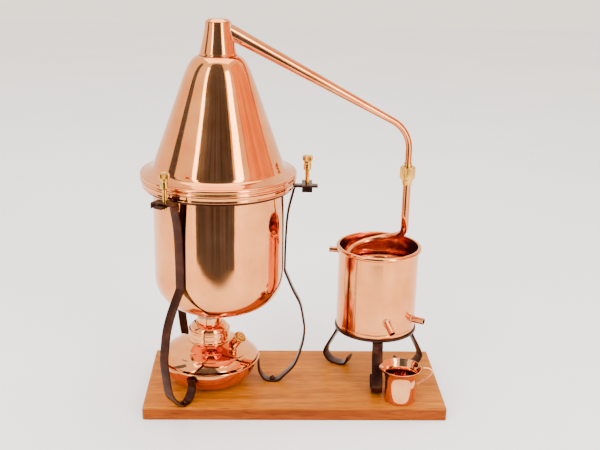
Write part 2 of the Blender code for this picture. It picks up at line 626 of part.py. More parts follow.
def make_union():
    """Union: flanged collar on the arm, collar on the worm's leg, and the nut over both."""
    bore = ARM_END_RADIUS + GAP
    flange_top = UNION_JOINT + UNION_FLANGE
    tail_top = UNION_NUT_TOP + TAILPIECE_RISE
    add("union_upper_collar", turned([(bore, UNION_JOINT + GAP), (THREAD_RADIUS, UNION_JOINT + GAP),
                                      (THREAD_RADIUS, flange_top), (TAILPIECE_RADIUS, flange_top),
                                      (TAILPIECE_RADIUS, tail_top), (bore, tail_top)], 20), "brass", UNION)

    shape = bmesh.new()
    bmesh.ops.create_cone(shape, cap_ends=True, segments=6, radius1=UNION_FLATS / math.sqrt(3),
                          radius2=UNION_FLATS / math.sqrt(3), depth=UNION_NUT_HEIGHT,
                          matrix=Matrix.Translation((0, 0, UNION_NUT_FOOT + UNION_NUT_HEIGHT / 2)))
    nut = add("union_nut", shape, "brass", UNION)
    low = UNION_NUT_FOOT - 0.002
    cut(nut, [upright_rod(TAILPIECE_RADIUS + RUNNING, UNION, low, UNION_NUT_TOP + 0.002, 20),
              upright_rod(THREAD_RADIUS + RUNNING, UNION, low, flange_top + GAP, 20)])

    inner = WORM_INLET_RADIUS + GAP
    foot = UNION_NUT_FOOT - SEAT_DROP
    section = [(inner, foot), (SEAT_RADIUS, foot), (THREAD_RADIUS, UNION_NUT_FOOT - GAP),
               (THREAD_RADIUS, UNION_JOINT), (inner, UNION_JOINT)]
    add("union_lower_collar", turned(section, 20), "brass", UNION)


# --- worm -------------------------------------------------------------------------------------
def spirit_hole():
    """Middle of the hole where the worm leaves the bucket, and the direction of its end."""
    spot = CONDENSER + BUCKET_RADIUS * direction(SPIRIT_AZIMUTH) + Vector((0, 0, SPIRIT_HEIGHT))
    return spot, direction(SPIRIT_TURN, -SPIRIT_FALL)


def worm_path():
    """Inlet leg, coil and outlet on one smooth line, with the pipe's radius at each point."""
    sweep = COIL_END - COIL_START + 2 * math.pi * COIL_TURNS
    pitch = (COIL_TOP - COIL_FOOT - COIL_PLUNGE) / sweep

    def on_coil(turned_by):
        fall = COIL_PLUNGE * (1 - math.exp(-turned_by / COIL_PLUNGE_ANGLE)) + pitch * turned_by
        return CONDENSER + COIL_RADIUS * direction(COIL_START + turned_by) + Vector((0, 0, COIL_TOP - fall))

    steps = round(sweep / math.radians(26))
    coil = [on_coil(sweep * i / steps) for i in range(steps + 1)]
    entry = (on_coil(0.02) - on_coil(0)).normalized()
    leave = (on_coil(sweep) - on_coil(sweep - 0.02)).normalized()
    top, bend = UNION + Vector((0, 0, UNION_JOINT - GAP)), UNION + Vector((0, 0, INLET_BEND))
    inlet = [top] + bezier(bend, bend - Vector((0, 0, 0.020)), coil[0] - entry * 0.022, coil[0], 8)[:-1]
    hole, out = spirit_hole()
    inside = hole - out * 0.0055
    ending = bezier(coil[-1], coil[-1] + leave * 0.016, inside - out * 0.010, inside, 6)[1:]
    path = inlet + coil + ending + [hole + out * SPIRIT_LENGTH]
    slim = [min(i / (len(inlet) + 4), 1) for i in range(len(path))]
    return path, [WORM_INLET_RADIUS + (WORM_RADIUS - WORM_INLET_RADIUS) * share for share in slim]


def make_worm():
    path, radii = worm_path()
    add("worm_coil", pipe(path, radii, WORM_WALL, 8), "copper", sharp=50)


# --- condenser bucket -------------------------------------------------------------------------
def make_spout(name, azimuth, height, length, radius):
    """A straight stub through the bucket's wall; returns the cutter for its hole."""
    out = direction(azimuth)
    wall = CONDENSER + Vector((0, 0, height)) + out * BUCKET_RADIUS
    start, end = wall - out * (BUCKET_WALL + SPOUT_POKE), wall + out * length
    add(name, pipe([start, end], [radius, radius], SPOUT_WALL, 16), "copper")
    return rod(radius + GAP, wall - out * 0.008, wall + out * 0.004)


def make_bucket():
    inner = BUCKET_RADIUS - BUCKET_WALL
    bead = (BUCKET_RADIUS + 0.0005, BUCKET_BEAD_HEIGHT)
    outline = [(0, BUCKET_FOOT), (BUCKET_RADIUS - 0.0010, BUCKET_FOOT), (BUCKET_RADIUS, BUCKET_FOOT + 0.0010)]
    outline += arc(bead, BUCKET_BEAD, -100, 122, 8)
    outline += [(inner, BUCKET_FOOT + BUCKET_WALL), (0, BUCKET_FOOT + BUCKET_WALL)]
    bucket = add("condenser_bucket", turned(outline, LARGE), "copper", CONDENSER)
    hole, out = spirit_hole()
    overflow = make_spout("overflow_spout", OVERFLOW_AZIMUTH, OVERFLOW_HEIGHT, OVERFLOW_LENGTH, OVERFLOW_RADIUS)
    inlet = make_spout("water_inlet_spout", INLET_AZIMUTH, INLET_HEIGHT, INLET_LENGTH, INLET_RADIUS)
    cut(bucket, [overflow, inlet, rod(WORM_RADIUS + 2 * GAP, hole - out * 0.007, hole + out * 0.006)])


def make_trivet():
    inner = TRIVET_OUTER - TRIVET_WIDTH
    add("condenser_stand_ring", turned([(inner, TRIVET_FOOT), (TRIVET_OUTER, TRIVET_FOOT),
                                        (TRIVET_OUTER, TRIVET_TOP), (inner, TRIVET_TOP)], LARGE),
        "iron", CONDENSER)
    top = TRIVET_FOOT - GAP - STRIP_THICK / 2
    corner = TRIVET_OUTER - 0.0035
    bend = arc((corner, top - 0.0035), 0.0035, 70, 0, 3)
    side = smooth_path([bend[-1], (TRIVET_OUTER + 0.0010, 0.0633), (TRIVET_OUTER + 0.0095, 0.0470),
                        (TRIVET_OUTER + 0.0167, 0.0322), (TRIVET_OUTER + 0.0160, 0.0250),
                        (TRIVET_OUTER + 0.0095, FOOT_MIDDLE + 0.0017),
                        (TRIVET_OUTER - 0.0015, FOOT_MIDDLE)], 3)
    curl = smooth_path([(TRIVET_OUTER - 0.0060, FOOT_MIDDLE), (TRIVET_OUTER - 0.0130, FOOT_MIDDLE + 0.0030),
                        (TRIVET_OUTER - 0.0172, FOOT_MIDDLE + 0.0125)], 3)
    path = [(inner + 0.0015, top), (corner, top)] + bend + side[1:] + curl
    for name, azimuth in TRIVET_AZIMUTHS.items():
        add("condenser_leg_" + name, strip(path, TRIVET_STRIP_WIDTH, STRIP_THICK, azimuth), "iron", CONDENSER)


# --- spirit burner ----------------------------------------------------------------------------
def bowl_line(inset, count):
    """The bowl's line from its base up to just under the rim."""
    heights = np.linspace(BURNER_FOOT + inset, BURNER_LIP - BURNER_BEAD, count)
    return [(bowl_radius(height) - inset, height) for height in heights]


def top_height(radius):
    """Height of the lamp's rounded top above the rim at a radius."""
    return TOP_RISE * (1 - (radius / BURNER_RIM) ** TOP_ROUNDNESS) ** (1 / TOP_ROUNDNESS)


def make_burner():
    rim = (BURNER_RIM - BURNER_BEAD, BURNER_LIP)
    outline = [(0, BURNER_FOOT)] + bowl_line(0.0, 9) + arc(rim, BURNER_BEAD, -60, 150, 5)
    outline += bowl_line(BURNER_SHEET, 7)[::-1] + [(0, BURNER_FOOT + BURNER_SHEET)]
    add("burner_bowl", turned(outline, LARGE), "copper", BURNER)

    lift = BURNER_LIP + GAP + BURNER_BEAD * 0.4
    radii = np.linspace(BURNER_RIM - 0.0020, DOME_CLEAR, 8)
    top = [(radius, lift + top_height(radius)) for radius in radii]
    under = [(radius - 0.5 * BURNER_SHEET, height - BURNER_SHEET) for radius, height in top[:0:-1]]
    under = [(max(radius, DOME_CLEAR), height) for radius, height in under]
    under.append((top[0][0] - BURNER_SHEET, lift + BURNER_BEAD))
    add("burner_top", turned(top + under, LARGE), "copper", BURNER)
    return lift


def make_burner_collar(lift):
    foot = lift + top_height(COLLAR_FLANGE) + GAP
    crest = lift + top_height(DOME_CLEAR) + GAP
    wall = foot + COLLAR_HEIGHT
    collar = [(COLLAR_FLANGE, foot), (COLLAR_FLANGE, foot + 0.0010), (COLLAR_RADIUS, foot + 0.0020),
              (COLLAR_RADIUS, wall - 0.0008), (DOME_RADIUS, wall + 0.0004)]
    span = DOME_RADIUS - DOME_CLEAR
    collar += [(DOME_CLEAR + span * math.cos(a), wall + 0.0004 + (DOME_HEIGHT - 0.0004) * math.sin(a))
               for a in (0.4, 0.8, 1.2)]
    collar += [(DOME_CLEAR, wall + DOME_HEIGHT), (DOME_CLEAR, crest)]
    radii = np.linspace(DOME_CLEAR, COLLAR_FLANGE, 4)[1:-1]
    collar += [(radius, lift + top_height(radius) + 2 * GAP) for radius in radii]
    add("burner_collar", turned(collar, MEDIUM), "copper", BURNER)

    top = wall + DOME_HEIGHT + WICK_TUBE_RISE
    low = wall + DOME_HEIGHT - WICK_TUBE_DEPTH
    bore = WICK_TUBE_RADIUS - BURNER_SHEET
    section = [(WICK_TUBE_RADIUS, low), (WICK_TUBE_RADIUS, top), (bore, top), (bore, low)]
    add("wick_tube", turned(section, MEDIUM), "copper", BURNER)
    wick = bore - GAP
    add("wick", turned([(0, low - 0.0060), (wick, low - 0.0060), (wick, top + 0.0004),
                        (wick - 0.0030, top + WICK_RISE), (0, top + WICK_RISE)], 20), "cotton", BURNER)
    return wall


def make_filler(lift, wall):
    """Slanting filler neck whose root follows the lamp's top, and its screw cap."""
    cap = BURNER + Vector(FILLER_OFFSET) + Vector((0, 0, BURNER_LIP))
    out = direction(FILLER_AZIMUTH, FILLER_RISE)
    neck_top = cap - out * (FILLER_CAP_THICK + GAP) - BURNER
    neck = add("filler_neck", pipe([neck_top - out * 0.030, neck_top], [FILLER_RADIUS] * 2, BURNER_SHEET, 20),
               "copper", BURNER)
    radii = np.linspace(BURNER_RIM, COLLAR_FLANGE, 10)
    clear = [(0, BURNER_LIP - 0.030), (BURNER_RIM, BURNER_LIP - 0.030)]
    clear += [(radius, lift + top_height(radius) + GAP) for radius in radii]
    collar_foot = clear[-1][1]
    clear += [(COLLAR_FLANGE + GAP, collar_foot + 0.0016), (COLLAR_RADIUS + 2 * GAP, collar_foot + 0.0026),
              (COLLAR_RADIUS + 2 * GAP, wall), (0, wall)]
    body = turned(clear, LARGE)
    bmesh.ops.translate(body, vec=BURNER, verts=body.verts)
    cut(neck, [body])

    lid = [(0, -FILLER_CAP_THICK), (FILLER_CAP_RADIUS, -FILLER_CAP_THICK), (FILLER_CAP_RADIUS, -0.0006),
           (FILLER_CAP_RADIUS - 0.0007, 0), (FILLER_DIMPLE, 0), (0, -0.6 * FILLER_DIMPLE)]
    mesh = turned(lid, 20)
    bmesh.ops.transform(mesh, matrix=out.to_track_quat("Z", "Y").to_matrix().to_4x4(), verts=mesh.verts)
    add("filler_cap", mesh, "brass", cap)


# --- cup --------------------------------------------------------------------------------------
def make_cup():
    """Beaker with a flared mouth, a pouring lip on the left and a wire handle on the right."""
    flare = bezier((CUP_RADIUS, CUP_TOP - CUP_FLARE), (CUP_RADIUS, CUP_TOP - 0.4 * CUP_FLARE),
                   (CUP_RIM - 0.0030, CUP_TOP - 0.3 * CUP_FLARE), (CUP_RIM, CUP_TOP), 7)
    outline = [(0, CUP_FOOT), (CUP_RADIUS - 0.0008, CUP_FOOT), (CUP_RADIUS, CUP_FOOT + 0.0008)]
    outline += [tuple(point) for point in flare]
    outline += [(point[0] - CUP_WALL, point[1] + 0.0002) for point in reversed(flare)]
    outline += [(CUP_RADIUS - CUP_WALL, CUP_FOOT + CUP_WALL), (0, CUP_FOOT + CUP_WALL)]
    mesh = turned(outline, MEDIUM)
    for vert in mesh.verts:
        off = math.pi - abs(math.atan2(vert.co.y, vert.co.x))
        near = max(0.0, 1 - off / CUP_LIP_WIDTH)
        rise = max(0.0, (vert.co.z - CUP_TOP + CUP_FLARE) / CUP_FLARE)
        vert.co.x -= CUP_LIP * rise * rise * near * near * (3 - 2 * near)
    add("cup_body", mesh, "copper", CUP)

    clear = HANDLE_WIRE + GAP
    top = (CUP_RIM + clear + 0.0002, CUP_TOP - 0.0012)
    bottom = (CUP_RADIUS + clear + 0.0004, CUP_TOP - 0.0227)
    line = smooth_path([top, (CUP_RIM + 0.0085, CUP_TOP - 0.0018), (CUP_RIM + HANDLE_REACH, CUP_TOP - 0.0053),
                        (CUP_RIM + HANDLE_REACH * 0.72, CUP_TOP - 0.0115),
                        (CUP_RIM + 0.0034, CUP_TOP - 0.0172), bottom], 3)
    path = [(point[0], 0, point[1]) for point in line]
    add("cup_handle", swept(round_sections(path, [HANDLE_WIRE] * len(path), 8)), "copper", CUP, sharp=50)


# --- build ------------------------------------------------------------------------------------
def main():
    for leftover in list(bpy.data.objects):
        bpy.data.objects.remove(leftover, do_unlink=True)
    make_board()
    make_pot_stand()
    make_pot()
    make_helm()
    make_arm()
    make_union()
    make_worm()
    make_bucket()
    make_trivet()
    lift = make_burner()
    wall = make_burner_collar(lift)
    make_filler(lift, wall)
    make_cup()


main()
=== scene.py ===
# %% [markdown]
# # A table-top copper still
# The still is a spun copper pot over a spirit burner, a conical helm with a sloping arm, and a worm in a
# bucket of cooling water.  The frame that is loaded here holds the plain solids.  Each of them is either
# given a finish or covered by a smoother piece, worked out as a surface with numpy.

# %% Load the frame
import math

import bmesh
import bpy
import numpy as np
from mathutils import Matrix, Vector


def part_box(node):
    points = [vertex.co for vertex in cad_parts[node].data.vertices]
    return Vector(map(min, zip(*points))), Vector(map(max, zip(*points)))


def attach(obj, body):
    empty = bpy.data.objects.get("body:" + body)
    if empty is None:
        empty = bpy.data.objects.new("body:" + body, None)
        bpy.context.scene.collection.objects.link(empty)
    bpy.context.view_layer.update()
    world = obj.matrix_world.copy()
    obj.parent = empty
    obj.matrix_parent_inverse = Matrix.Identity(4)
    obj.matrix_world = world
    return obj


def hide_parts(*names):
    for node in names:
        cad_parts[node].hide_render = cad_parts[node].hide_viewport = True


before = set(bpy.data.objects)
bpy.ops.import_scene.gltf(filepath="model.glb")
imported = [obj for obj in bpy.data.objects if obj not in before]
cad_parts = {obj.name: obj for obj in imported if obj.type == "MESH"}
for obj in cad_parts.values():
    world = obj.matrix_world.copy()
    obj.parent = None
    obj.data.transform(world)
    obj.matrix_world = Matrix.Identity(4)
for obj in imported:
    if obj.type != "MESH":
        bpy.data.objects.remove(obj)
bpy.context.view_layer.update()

# %% [markdown]
# Every turned piece is centred on one of a few upright axes.  They are read from the frame's own boxes, so
# that a new piece lands exactly on the solid it covers.


# %% Axes of the turned pieces
def middle(node):
    """The middle of a node's box."""
    low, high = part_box(node)
    return np.array((low + high) / 2)


CUP_RIM = 0.0245
BOILER = middle("pot")[:2]
BURNER = middle("burner_bowl")[:2]
BUCKET = middle("condenser_stand_ring")[:2]
UNION = middle("union_upper_collar")[:2]
CUP = np.array((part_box("cup_body")[1].x - CUP_RIM, middle("cup_body")[1]))
SIDES = {"right": math.radians(-1.5), "back": math.radians(122), "front": math.radians(-121.5)}
TRIVET_SIDES = {"left": math.radians(149), "front": math.radians(268), "right": math.radians(22)}
BOARD_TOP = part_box("base_board")[1].z
GAP = 0.0003                             # between pieces that are seated on each other
UP = np.array((0.0, 0.0, 1.0))
print("boiler axis", BOILER.round(4), "bucket axis", BUCKET.round(4), "cup axis", CUP.round(4))

# %% [markdown]
# A finish is a small network of nodes.  One helper adds a node with its settings and its links, and one
# turns an sRGB hex value into the linear colour that the shader works in.


# %% Helpers for finishes
def linear(code):
    """Linear RGBA from an sRGB hex value: each channel c becomes ((c + 0.055) / 1.055) to the power 2.4."""
    channels = np.array([int(code[i:i + 2], 16) / 255 for i in (1, 3, 5)])
    low, high = channels / 12.92, ((channels + 0.055) / 1.055) ** 2.4
    return (*(float(v) for v in np.where(channels <= 0.04045, low, high)), 1.0)


def add_node(tree, kind, inputs, **settings):
    """Adds one node; inputs maps a socket to a plain value or to the output that feeds it."""
    made = tree.nodes.new(kind)
    for key, value in settings.items():
        setattr(made, key, value)
    for key, value in inputs.items():
        if isinstance(value, bpy.types.NodeSocket):
            tree.links.new(value, made.inputs[key])
        else:
            made.inputs[key].default_value = value
    return made


def new_finish(name, **values):
    """A material with its Principled shader, and the object coordinates in metres."""
    finish = bpy.data.materials.new(name)
    finish.use_nodes = True
    tree = finish.node_tree
    shader = tree.nodes["Principled BSDF"]
    for key, value in values.items():
        shader.inputs[key.replace("_", " ")].default_value = value
    place = add_node(tree, "ShaderNodeTexCoord", {}).outputs["Object"]
    return finish, tree, shader, place


def blend_colours(tree, factor, codes, stops):
    """A colour ramp over a factor."""
    ramp = add_node(tree, "ShaderNodeValToRGB", {"Fac": factor})
    ramp.color_ramp.elements[0].position, ramp.color_ramp.elements[0].color = stops[0], linear(codes[0])
    ramp.color_ramp.elements[1].position, ramp.color_ramp.elements[1].color = stops[-1], linear(codes[-1])
    for stop, code in zip(stops[1:-1], codes[1:-1]):
        ramp.color_ramp.elements.new(stop).color = linear(code)
    return ramp.outputs["Color"]


def add_noise(tree, place, scale, detail, **more):
    """Noise at a place; the scale is how many cells fit in a metre."""
    return add_node(tree, "ShaderNodeTexNoise", {"Vector": place, "Scale": scale, "Detail": detail, **more})


def add_range(tree, value, low, high, **more):
    """A value between 0 and 1, or between From Min and From Max, spread from low to high."""
    return add_node(tree, "ShaderNodeMapRange", {"Value": value, "To Min": low, "To Max": high, **more})


def add_bump(tree, height, strength, distance, **more):
    """A bump from a height, as deep as the distance in metres times the strength."""
    return add_node(tree, "ShaderNodeBump",
                    {"Height": height, "Strength": strength, "Distance": distance, **more})


def connect(tree, shader, colour, shine=None, bump=None):
    """Feeds the shader's colour, and its roughness and normal where a node is given for them."""
    tree.links.new(colour, shader.inputs["Base Color"])
    for node, socket in ((shine, "Roughness"), (bump, "Normal")):
        if node:
            tree.links.new(node.outputs[0], shader.inputs[socket])


print("finish helpers ready")

# %% [markdown]
# Spun copper is pressed over a turning form and then polished on the same lathe.  What the eye gets from
# that is a mirror with very fine rings round the axis, slow waves a few centimetres long where the sheet
# was worked, and a tint that shifts from pink to orange.  Rings need a distance from the axis, so each
# finish is made for one axis.


# %% Polished copper
WAVE_MM = 55        # length of the slow waves in the sheet
RING_MM = 0.9       # spacing of the polishing rings, coarser than the real 0.1 mm so that they show
CLOUD_MM = 30       # size of the patches of warmer tint


def spun_copper(name, axis, light="#EF9E5C", deep="#DA7E3E", roughness=0.05, wave=0.30):
    """Mirror-polished copper, turned round an upright axis.

    Rings are noise over (distance from the axis, height); waves and tint are noise over place.
    """
    finish, tree, shader, place = new_finish(name, Metallic=1.0)
    centred = add_node(tree, "ShaderNodeMapping",
                       {"Vector": place, "Location": (-axis[0], -axis[1], 0)})
    flat = add_node(tree, "ShaderNodeVectorMath", {0: centred.outputs[0], 1: (1, 1, 0)}, operation="MULTIPLY")
    away = add_node(tree, "ShaderNodeVectorMath", {0: flat.outputs[0]}, operation="LENGTH")
    split = add_node(tree, "ShaderNodeSeparateXYZ", {0: centred.outputs[0]})
    line = add_node(tree, "ShaderNodeCombineXYZ", {0: away.outputs["Value"], 1: split.outputs["Z"]})
    rings = add_noise(tree, line.outputs[0], 1000 / RING_MM, 2.0)
    waves = add_noise(tree, place, 1000 / WAVE_MM, 1.0)
    cloud = add_noise(tree, place, 1000 / CLOUD_MM, 5.0, Roughness=0.6)
    tint = blend_colours(tree, cloud.outputs["Fac"], (deep, light), (0.25, 0.75))
    shine = add_range(tree, cloud.outputs["Fac"], roughness, roughness * 1.9,
                      **{"From Min": 0.3, "From Max": 0.8})
    soft = add_bump(tree, waves.outputs["Fac"], wave, 0.0012)
    fine = add_bump(tree, rings.outputs["Fac"], 0.10, 0.00008, Normal=soft.outputs[0])
    connect(tree, shader, tint, shine, fine)
    return finish


boiler_copper = spun_copper("spun_copper_boiler", BOILER)
burner_copper = spun_copper("spun_copper_burner", BURNER, light="#F3A768", deep="#DE8544")
bucket_copper = spun_copper("rolled_copper_bucket", BUCKET, roughness=0.10, wave=0.5)
cup_copper = spun_copper("spun_copper_cup", CUP, light="#F3AF78", deep="#DF8E54")
pipe_copper = spun_copper("drawn_copper_pipe", UNION, light="#E4935A", deep="#C26E38", roughness=0.09,
                          wave=0.15)
print("five coppers, rings every", RING_MM, "mm")

# %% [markdown]
# Where two sheets meet they are brazed.  The braze is a copper-silver alloy: paler and yellower than the
# sheet, wiped smooth but never polished, so it scatters the light.


# %% Braze
def brazed_alloy():
    """Wiped braze: a pale metal with a lumpy surface, lumps about 2 mm across."""
    finish, tree, shader, place = new_finish("silver_braze_wiped", Metallic=1.0)
    lumps = add_noise(tree, place, 500.0, 3.0)
    tint = blend_colours(tree, lumps.outputs["Fac"], ("#B87347", "#E9B58C"), (0.3, 0.7))
    bump = add_bump(tree, lumps.outputs["Fac"], 0.4, 0.0004)
    shine = add_range(tree, lumps.outputs["Fac"], 0.22, 0.40)
    connect(tree, shader, tint, shine, bump)
    return finish


braze = brazed_alloy()
print("braze made")

# %% [markdown]
# The union, the thumbscrews and the filler cap are turned from brass bar.  Turning leaves level rings, and
# handling leaves a little brown in them.


# %% Turned brass
def turned_brass():
    """Turned brass: level rings 0.6 mm apart in colour and bump, and brown patches about 8 mm across."""
    finish, tree, shader, place = new_finish("turned_brass_handled", Metallic=1.0)
    level = add_node(tree, "ShaderNodeMapping", {"Vector": place, "Scale": (60, 60, 1600)})
    rings = add_noise(tree, level.outputs[0], 1.0, 2.0)
    patch = add_noise(tree, place, 125.0, 4.0)
    tint = blend_colours(tree, patch.outputs["Fac"], ("#A56E1C", "#D9A23E", "#EEC264"), (0.25, 0.5, 0.8))
    bump = add_bump(tree, rings.outputs["Fac"], 0.25, 0.0001)
    shine = add_range(tree, patch.outputs["Fac"], 0.26, 0.14)
    connect(tree, shader, tint, shine, bump)
    return finish


brass = turned_brass()
print("brass made")

# %% [markdown]
# The legs, rings and claws are bent from flat mild steel and lacquered a brown that is nearly black.  The
# lacquer levels out, so it shines, but mill scale under it leaves a slight grain.


# %% Lacquered steel
def lacquered_steel():
    """Brown lacquer over flat steel: grain of 1.2 mm in bump, cloudy brown of 15 mm in colour."""
    finish, tree, shader, place = new_finish("brown_lacquered_steel", Metallic=0.9, Coat_Weight=0.05,
                                             Coat_Roughness=0.22)
    grain = add_noise(tree, place, 830.0, 3.0)
    cloud = add_noise(tree, place, 66.0, 4.0)
    tint = blend_colours(tree, cloud.outputs["Fac"], ("#251009", "#3A1C10", "#562E1C"), (0.3, 0.55, 0.85))
    bump = add_bump(tree, grain.outputs["Fac"], 0.2, 0.00015)
    shine = add_range(tree, cloud.outputs["Fac"], 0.28, 0.44)
    connect(tree, shader, tint, shine, bump)
    return finish


steel = lacquered_steel()
print("steel made")

# %% [markdown]
# The board is a planed softwood plank, stained orange-brown and varnished.  Growth rings run along it as
# long streaks 3 to 8 mm apart, with short dark pores between them.  The grain is drawn by squeezing noise
# along the plank's length.


# %% Stained wood
SIDE_SHADE_LOW, SIDE_SHADE_HIGH = 0.0128, 0.0152    # heights between which the painted shade on the board's sides fades out to the top


def stained_wood():
    """Long streaks are noise squeezed 22 to 1 along X; pores are finer noise squeezed 40 to 1."""
    finish, tree, shader, place = new_finish("stained_varnished_plank", Specular_IOR_Level=0.12)
    long = add_node(tree, "ShaderNodeMapping", {"Vector": place, "Scale": (5, 110, 110)})
    streak = add_noise(tree, long.outputs[0], 1.0, 6.0, Roughness=0.62, Distortion=0.7)
    short = add_node(tree, "ShaderNodeMapping", {"Vector": place, "Scale": (45, 1800, 1800)})
    pores = add_noise(tree, short.outputs[0], 1.0, 2.0)
    tint = blend_colours(tree, streak.outputs["Fac"], ("#8C4A00", "#AC6000", "#BC6E00", "#CA7E04"),
                         (0.28, 0.46, 0.60, 0.78))
    dark = blend_colours(tree, pores.outputs["Fac"], ("#B89068", "#FFFFFF"), (0.34, 0.50))
    # painted shade: below the top face the board's sides are darkened by height, standing in for the shade
    # they take from overhead light; the pores are real grain
    height = add_node(tree, "ShaderNodeSeparateXYZ", {0: place}).outputs["Z"]
    rise = add_range(tree, height, 0.0, 1.0, **{"From Min": SIDE_SHADE_LOW, "From Max": SIDE_SHADE_HIGH})
    edge = blend_colours(tree, rise.outputs[0], ("#C4A284", "#F0E4D4", "#FFFFFF"), (0.0, 0.75, 1.0))
    both = tint
    for shade in (dark, edge):
        both = add_node(tree, "ShaderNodeMix", {"Factor": 1.0, 6: both, 7: shade}, data_type="RGBA",
                        blend_type="MULTIPLY").outputs[2]
    bump = add_bump(tree, pores.outputs["Fac"], 0.15, 0.0002)
    shine = add_range(tree, streak.outputs["Fac"], 0.34, 0.52)
    connect(tree, shader, both, shine, bump)
    return finish


wood = stained_wood()
print("wood made")

# %% [markdown]
# Two soft things are left: the ring that seals the helm, and the wick.  The ring is matt black rubber with a
# bloom of dust.  The wick is plaited cotton, charred at the top.


# %% Rubber and cotton
def bloomed_rubber():
    """Matt rubber with a pale bloom in patches of about 6 mm."""
    finish, tree, shader, place = new_finish("bloomed_seal_rubber")
    bloom = add_noise(tree, place, 160.0, 5.0)
    tint = blend_colours(tree, bloom.outputs["Fac"], ("#1C1917", "#4A443E"), (0.35, 0.80))
    shine = add_range(tree, bloom.outputs["Fac"], 0.6, 0.9)
    connect(tree, shader, tint, shine)
    return finish


def plaited_cotton():
    """Two waves crossing at right angles for the strands, and soot on the top 2.5 mm."""
    finish, tree, shader, place = new_finish("plaited_cotton_wick", Roughness=0.95)
    one = add_node(tree, "ShaderNodeTexWave", {"Vector": place, "Scale": 210.0, "Distortion": 1.0},
                   bands_direction="DIAGONAL")
    lean = add_node(tree, "ShaderNodeMapping", {"Vector": place, "Rotation": (0, 0, math.pi / 2)})
    two = add_node(tree, "ShaderNodeTexWave", {"Vector": lean.outputs[0], "Scale": 210.0, "Distortion": 1.0},
                   bands_direction="DIAGONAL")
    weave = add_node(tree, "ShaderNodeMath", {0: one.outputs["Fac"], 1: two.outputs["Fac"]},
                     operation="MAXIMUM")
    height = add_node(tree, "ShaderNodeSeparateXYZ", {0: place}).outputs["Z"]
    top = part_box("wick")[1].z
    soot = add_range(tree, height, 0.0, 1.0, **{"From Min": top - 0.0025, "From Max": top})
    strands = blend_colours(tree, weave.outputs[0], ("#8D7C60", "#E4D8BC"), (0.1, 0.9))
    mixed = add_node(tree, "ShaderNodeMix", {"Factor": soot.outputs[0], 6: strands, 7: linear("#4A3A2C")},
                     data_type="RGBA")
    bump = add_bump(tree, weave.outputs[0], 0.6, 0.0005)
    connect(tree, shader, mixed.outputs[2], bump=bump)
    return finish


rubber, cotton = bloomed_rubber(), plaited_cotton()
print("rubber and cotton made")

# %% [markdown]
# Nearly all the pieces are surfaces on a grid: rows of points along an outline, and columns round an axis or
# a pipe.  The faces are the same for any grid, so one function gives them, and another puts grid and faces
# into a mesh, closes the poles, and lets the piece ride on its body.


# %% Helpers for surfaces
def grid_faces(rows, columns, loop):
    """Quads between neighbouring rows and columns; columns always close, rows only in a loop."""
    row = np.arange(rows if loop else rows - 1)[:, None]
    column = np.arange(columns)[None, :]
    after, beside = (row + 1) % rows, (column + 1) % columns
    quads = [row * columns + column, row * columns + beside, after * columns + beside,
             after * columns + column]
    return np.stack(np.broadcast_arrays(*quads), axis=-1).reshape(-1, 4)


def add_piece(name, points, faces, finish, body, slot, covers=(), capped=False, sharp=40):
    """Mesh from points and faces, poles merged and normals outwards, riding on a body."""
    mesh = bpy.data.meshes.new(name)
    mesh.from_pydata(points.reshape(-1, 3).tolist(), [], faces.tolist())
    shape = bmesh.new()
    shape.from_mesh(mesh)
    bmesh.ops.remove_doubles(shape, verts=shape.verts, dist=2e-6)
    if capped:
        bmesh.ops.holes_fill(shape, edges=[e for e in shape.edges if e.is_boundary], sides=0)
    bmesh.ops.dissolve_degenerate(shape, dist=1e-7, edges=shape.edges)
    bmesh.ops.recalc_face_normals(shape, faces=shape.faces)
    shape.to_mesh(mesh)
    shape.free()
    mesh.materials.append(finish)
    mesh.shade_smooth()
    mesh.set_sharp_from_angle(angle=math.radians(sharp))
    piece = bpy.data.objects.new(name, mesh)
    bpy.context.scene.collection.objects.link(piece)
    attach(piece, body)
    if covers:
        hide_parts(*covers)
    return piece


def heading(azimuth, rise=0.0):
    """Unit direction: (cos a cos r, sin a cos r, sin r)."""
    return np.array((math.cos(azimuth) * math.cos(rise), math.sin(azimuth) * math.cos(rise), math.sin(rise)))


def round_axis(axis, radius, turn, height):
    """Points at a radius, a turn and a height round an upright axis; the three spread over each other."""
    return np.stack(np.broadcast_arrays(axis[0] + radius * np.cos(turn), axis[1] + radius * np.sin(turn),
                                        height), axis=-1)


def arc(centre, radius, start, end, count):
    """Points on a circle in the plane of the outline, angles in degrees."""
    turn = np.radians(np.linspace(start, end, count))
    return np.stack((centre[0] + radius * np.cos(turn), centre[1] + radius * np.sin(turn)), axis=-1)


def bezier(a, b, c, d, count):
    """Cubic Bezier curve: the four points weighted (1-t)^3, 3(1-t)^2 t, 3(1-t) t^2 and t^3."""
    t = np.linspace(0, 1, count)[:, None]
    a, b, c, d = (np.array(p, float) for p in (a, b, c, d))
    return (1 - t) ** 3 * a + 3 * (1 - t) ** 2 * t * b + 3 * (1 - t) * t * t * c + t ** 3 * d


def spline(points, spans):
    """Catmull-Rom curve through the points, each span cut into equal steps."""
    points = np.array(points, float)
    ends = np.vstack((2 * points[0] - points[1], points, 2 * points[-1] - points[-2]))
    a, b, c, d = (ends[i:len(ends) - 3 + i, None, :] for i in range(4))
    t = (np.arange(spans) / spans)[None, :, None]
    curve = 0.5 * (2 * b + (c - a) * t + (2 * a - 5 * b + 4 * c - d) * t ** 2
                   + (3 * b - a - 3 * c + d) * t ** 3)
    return np.vstack((curve.reshape(-1, points.shape[1]), points[-1]))


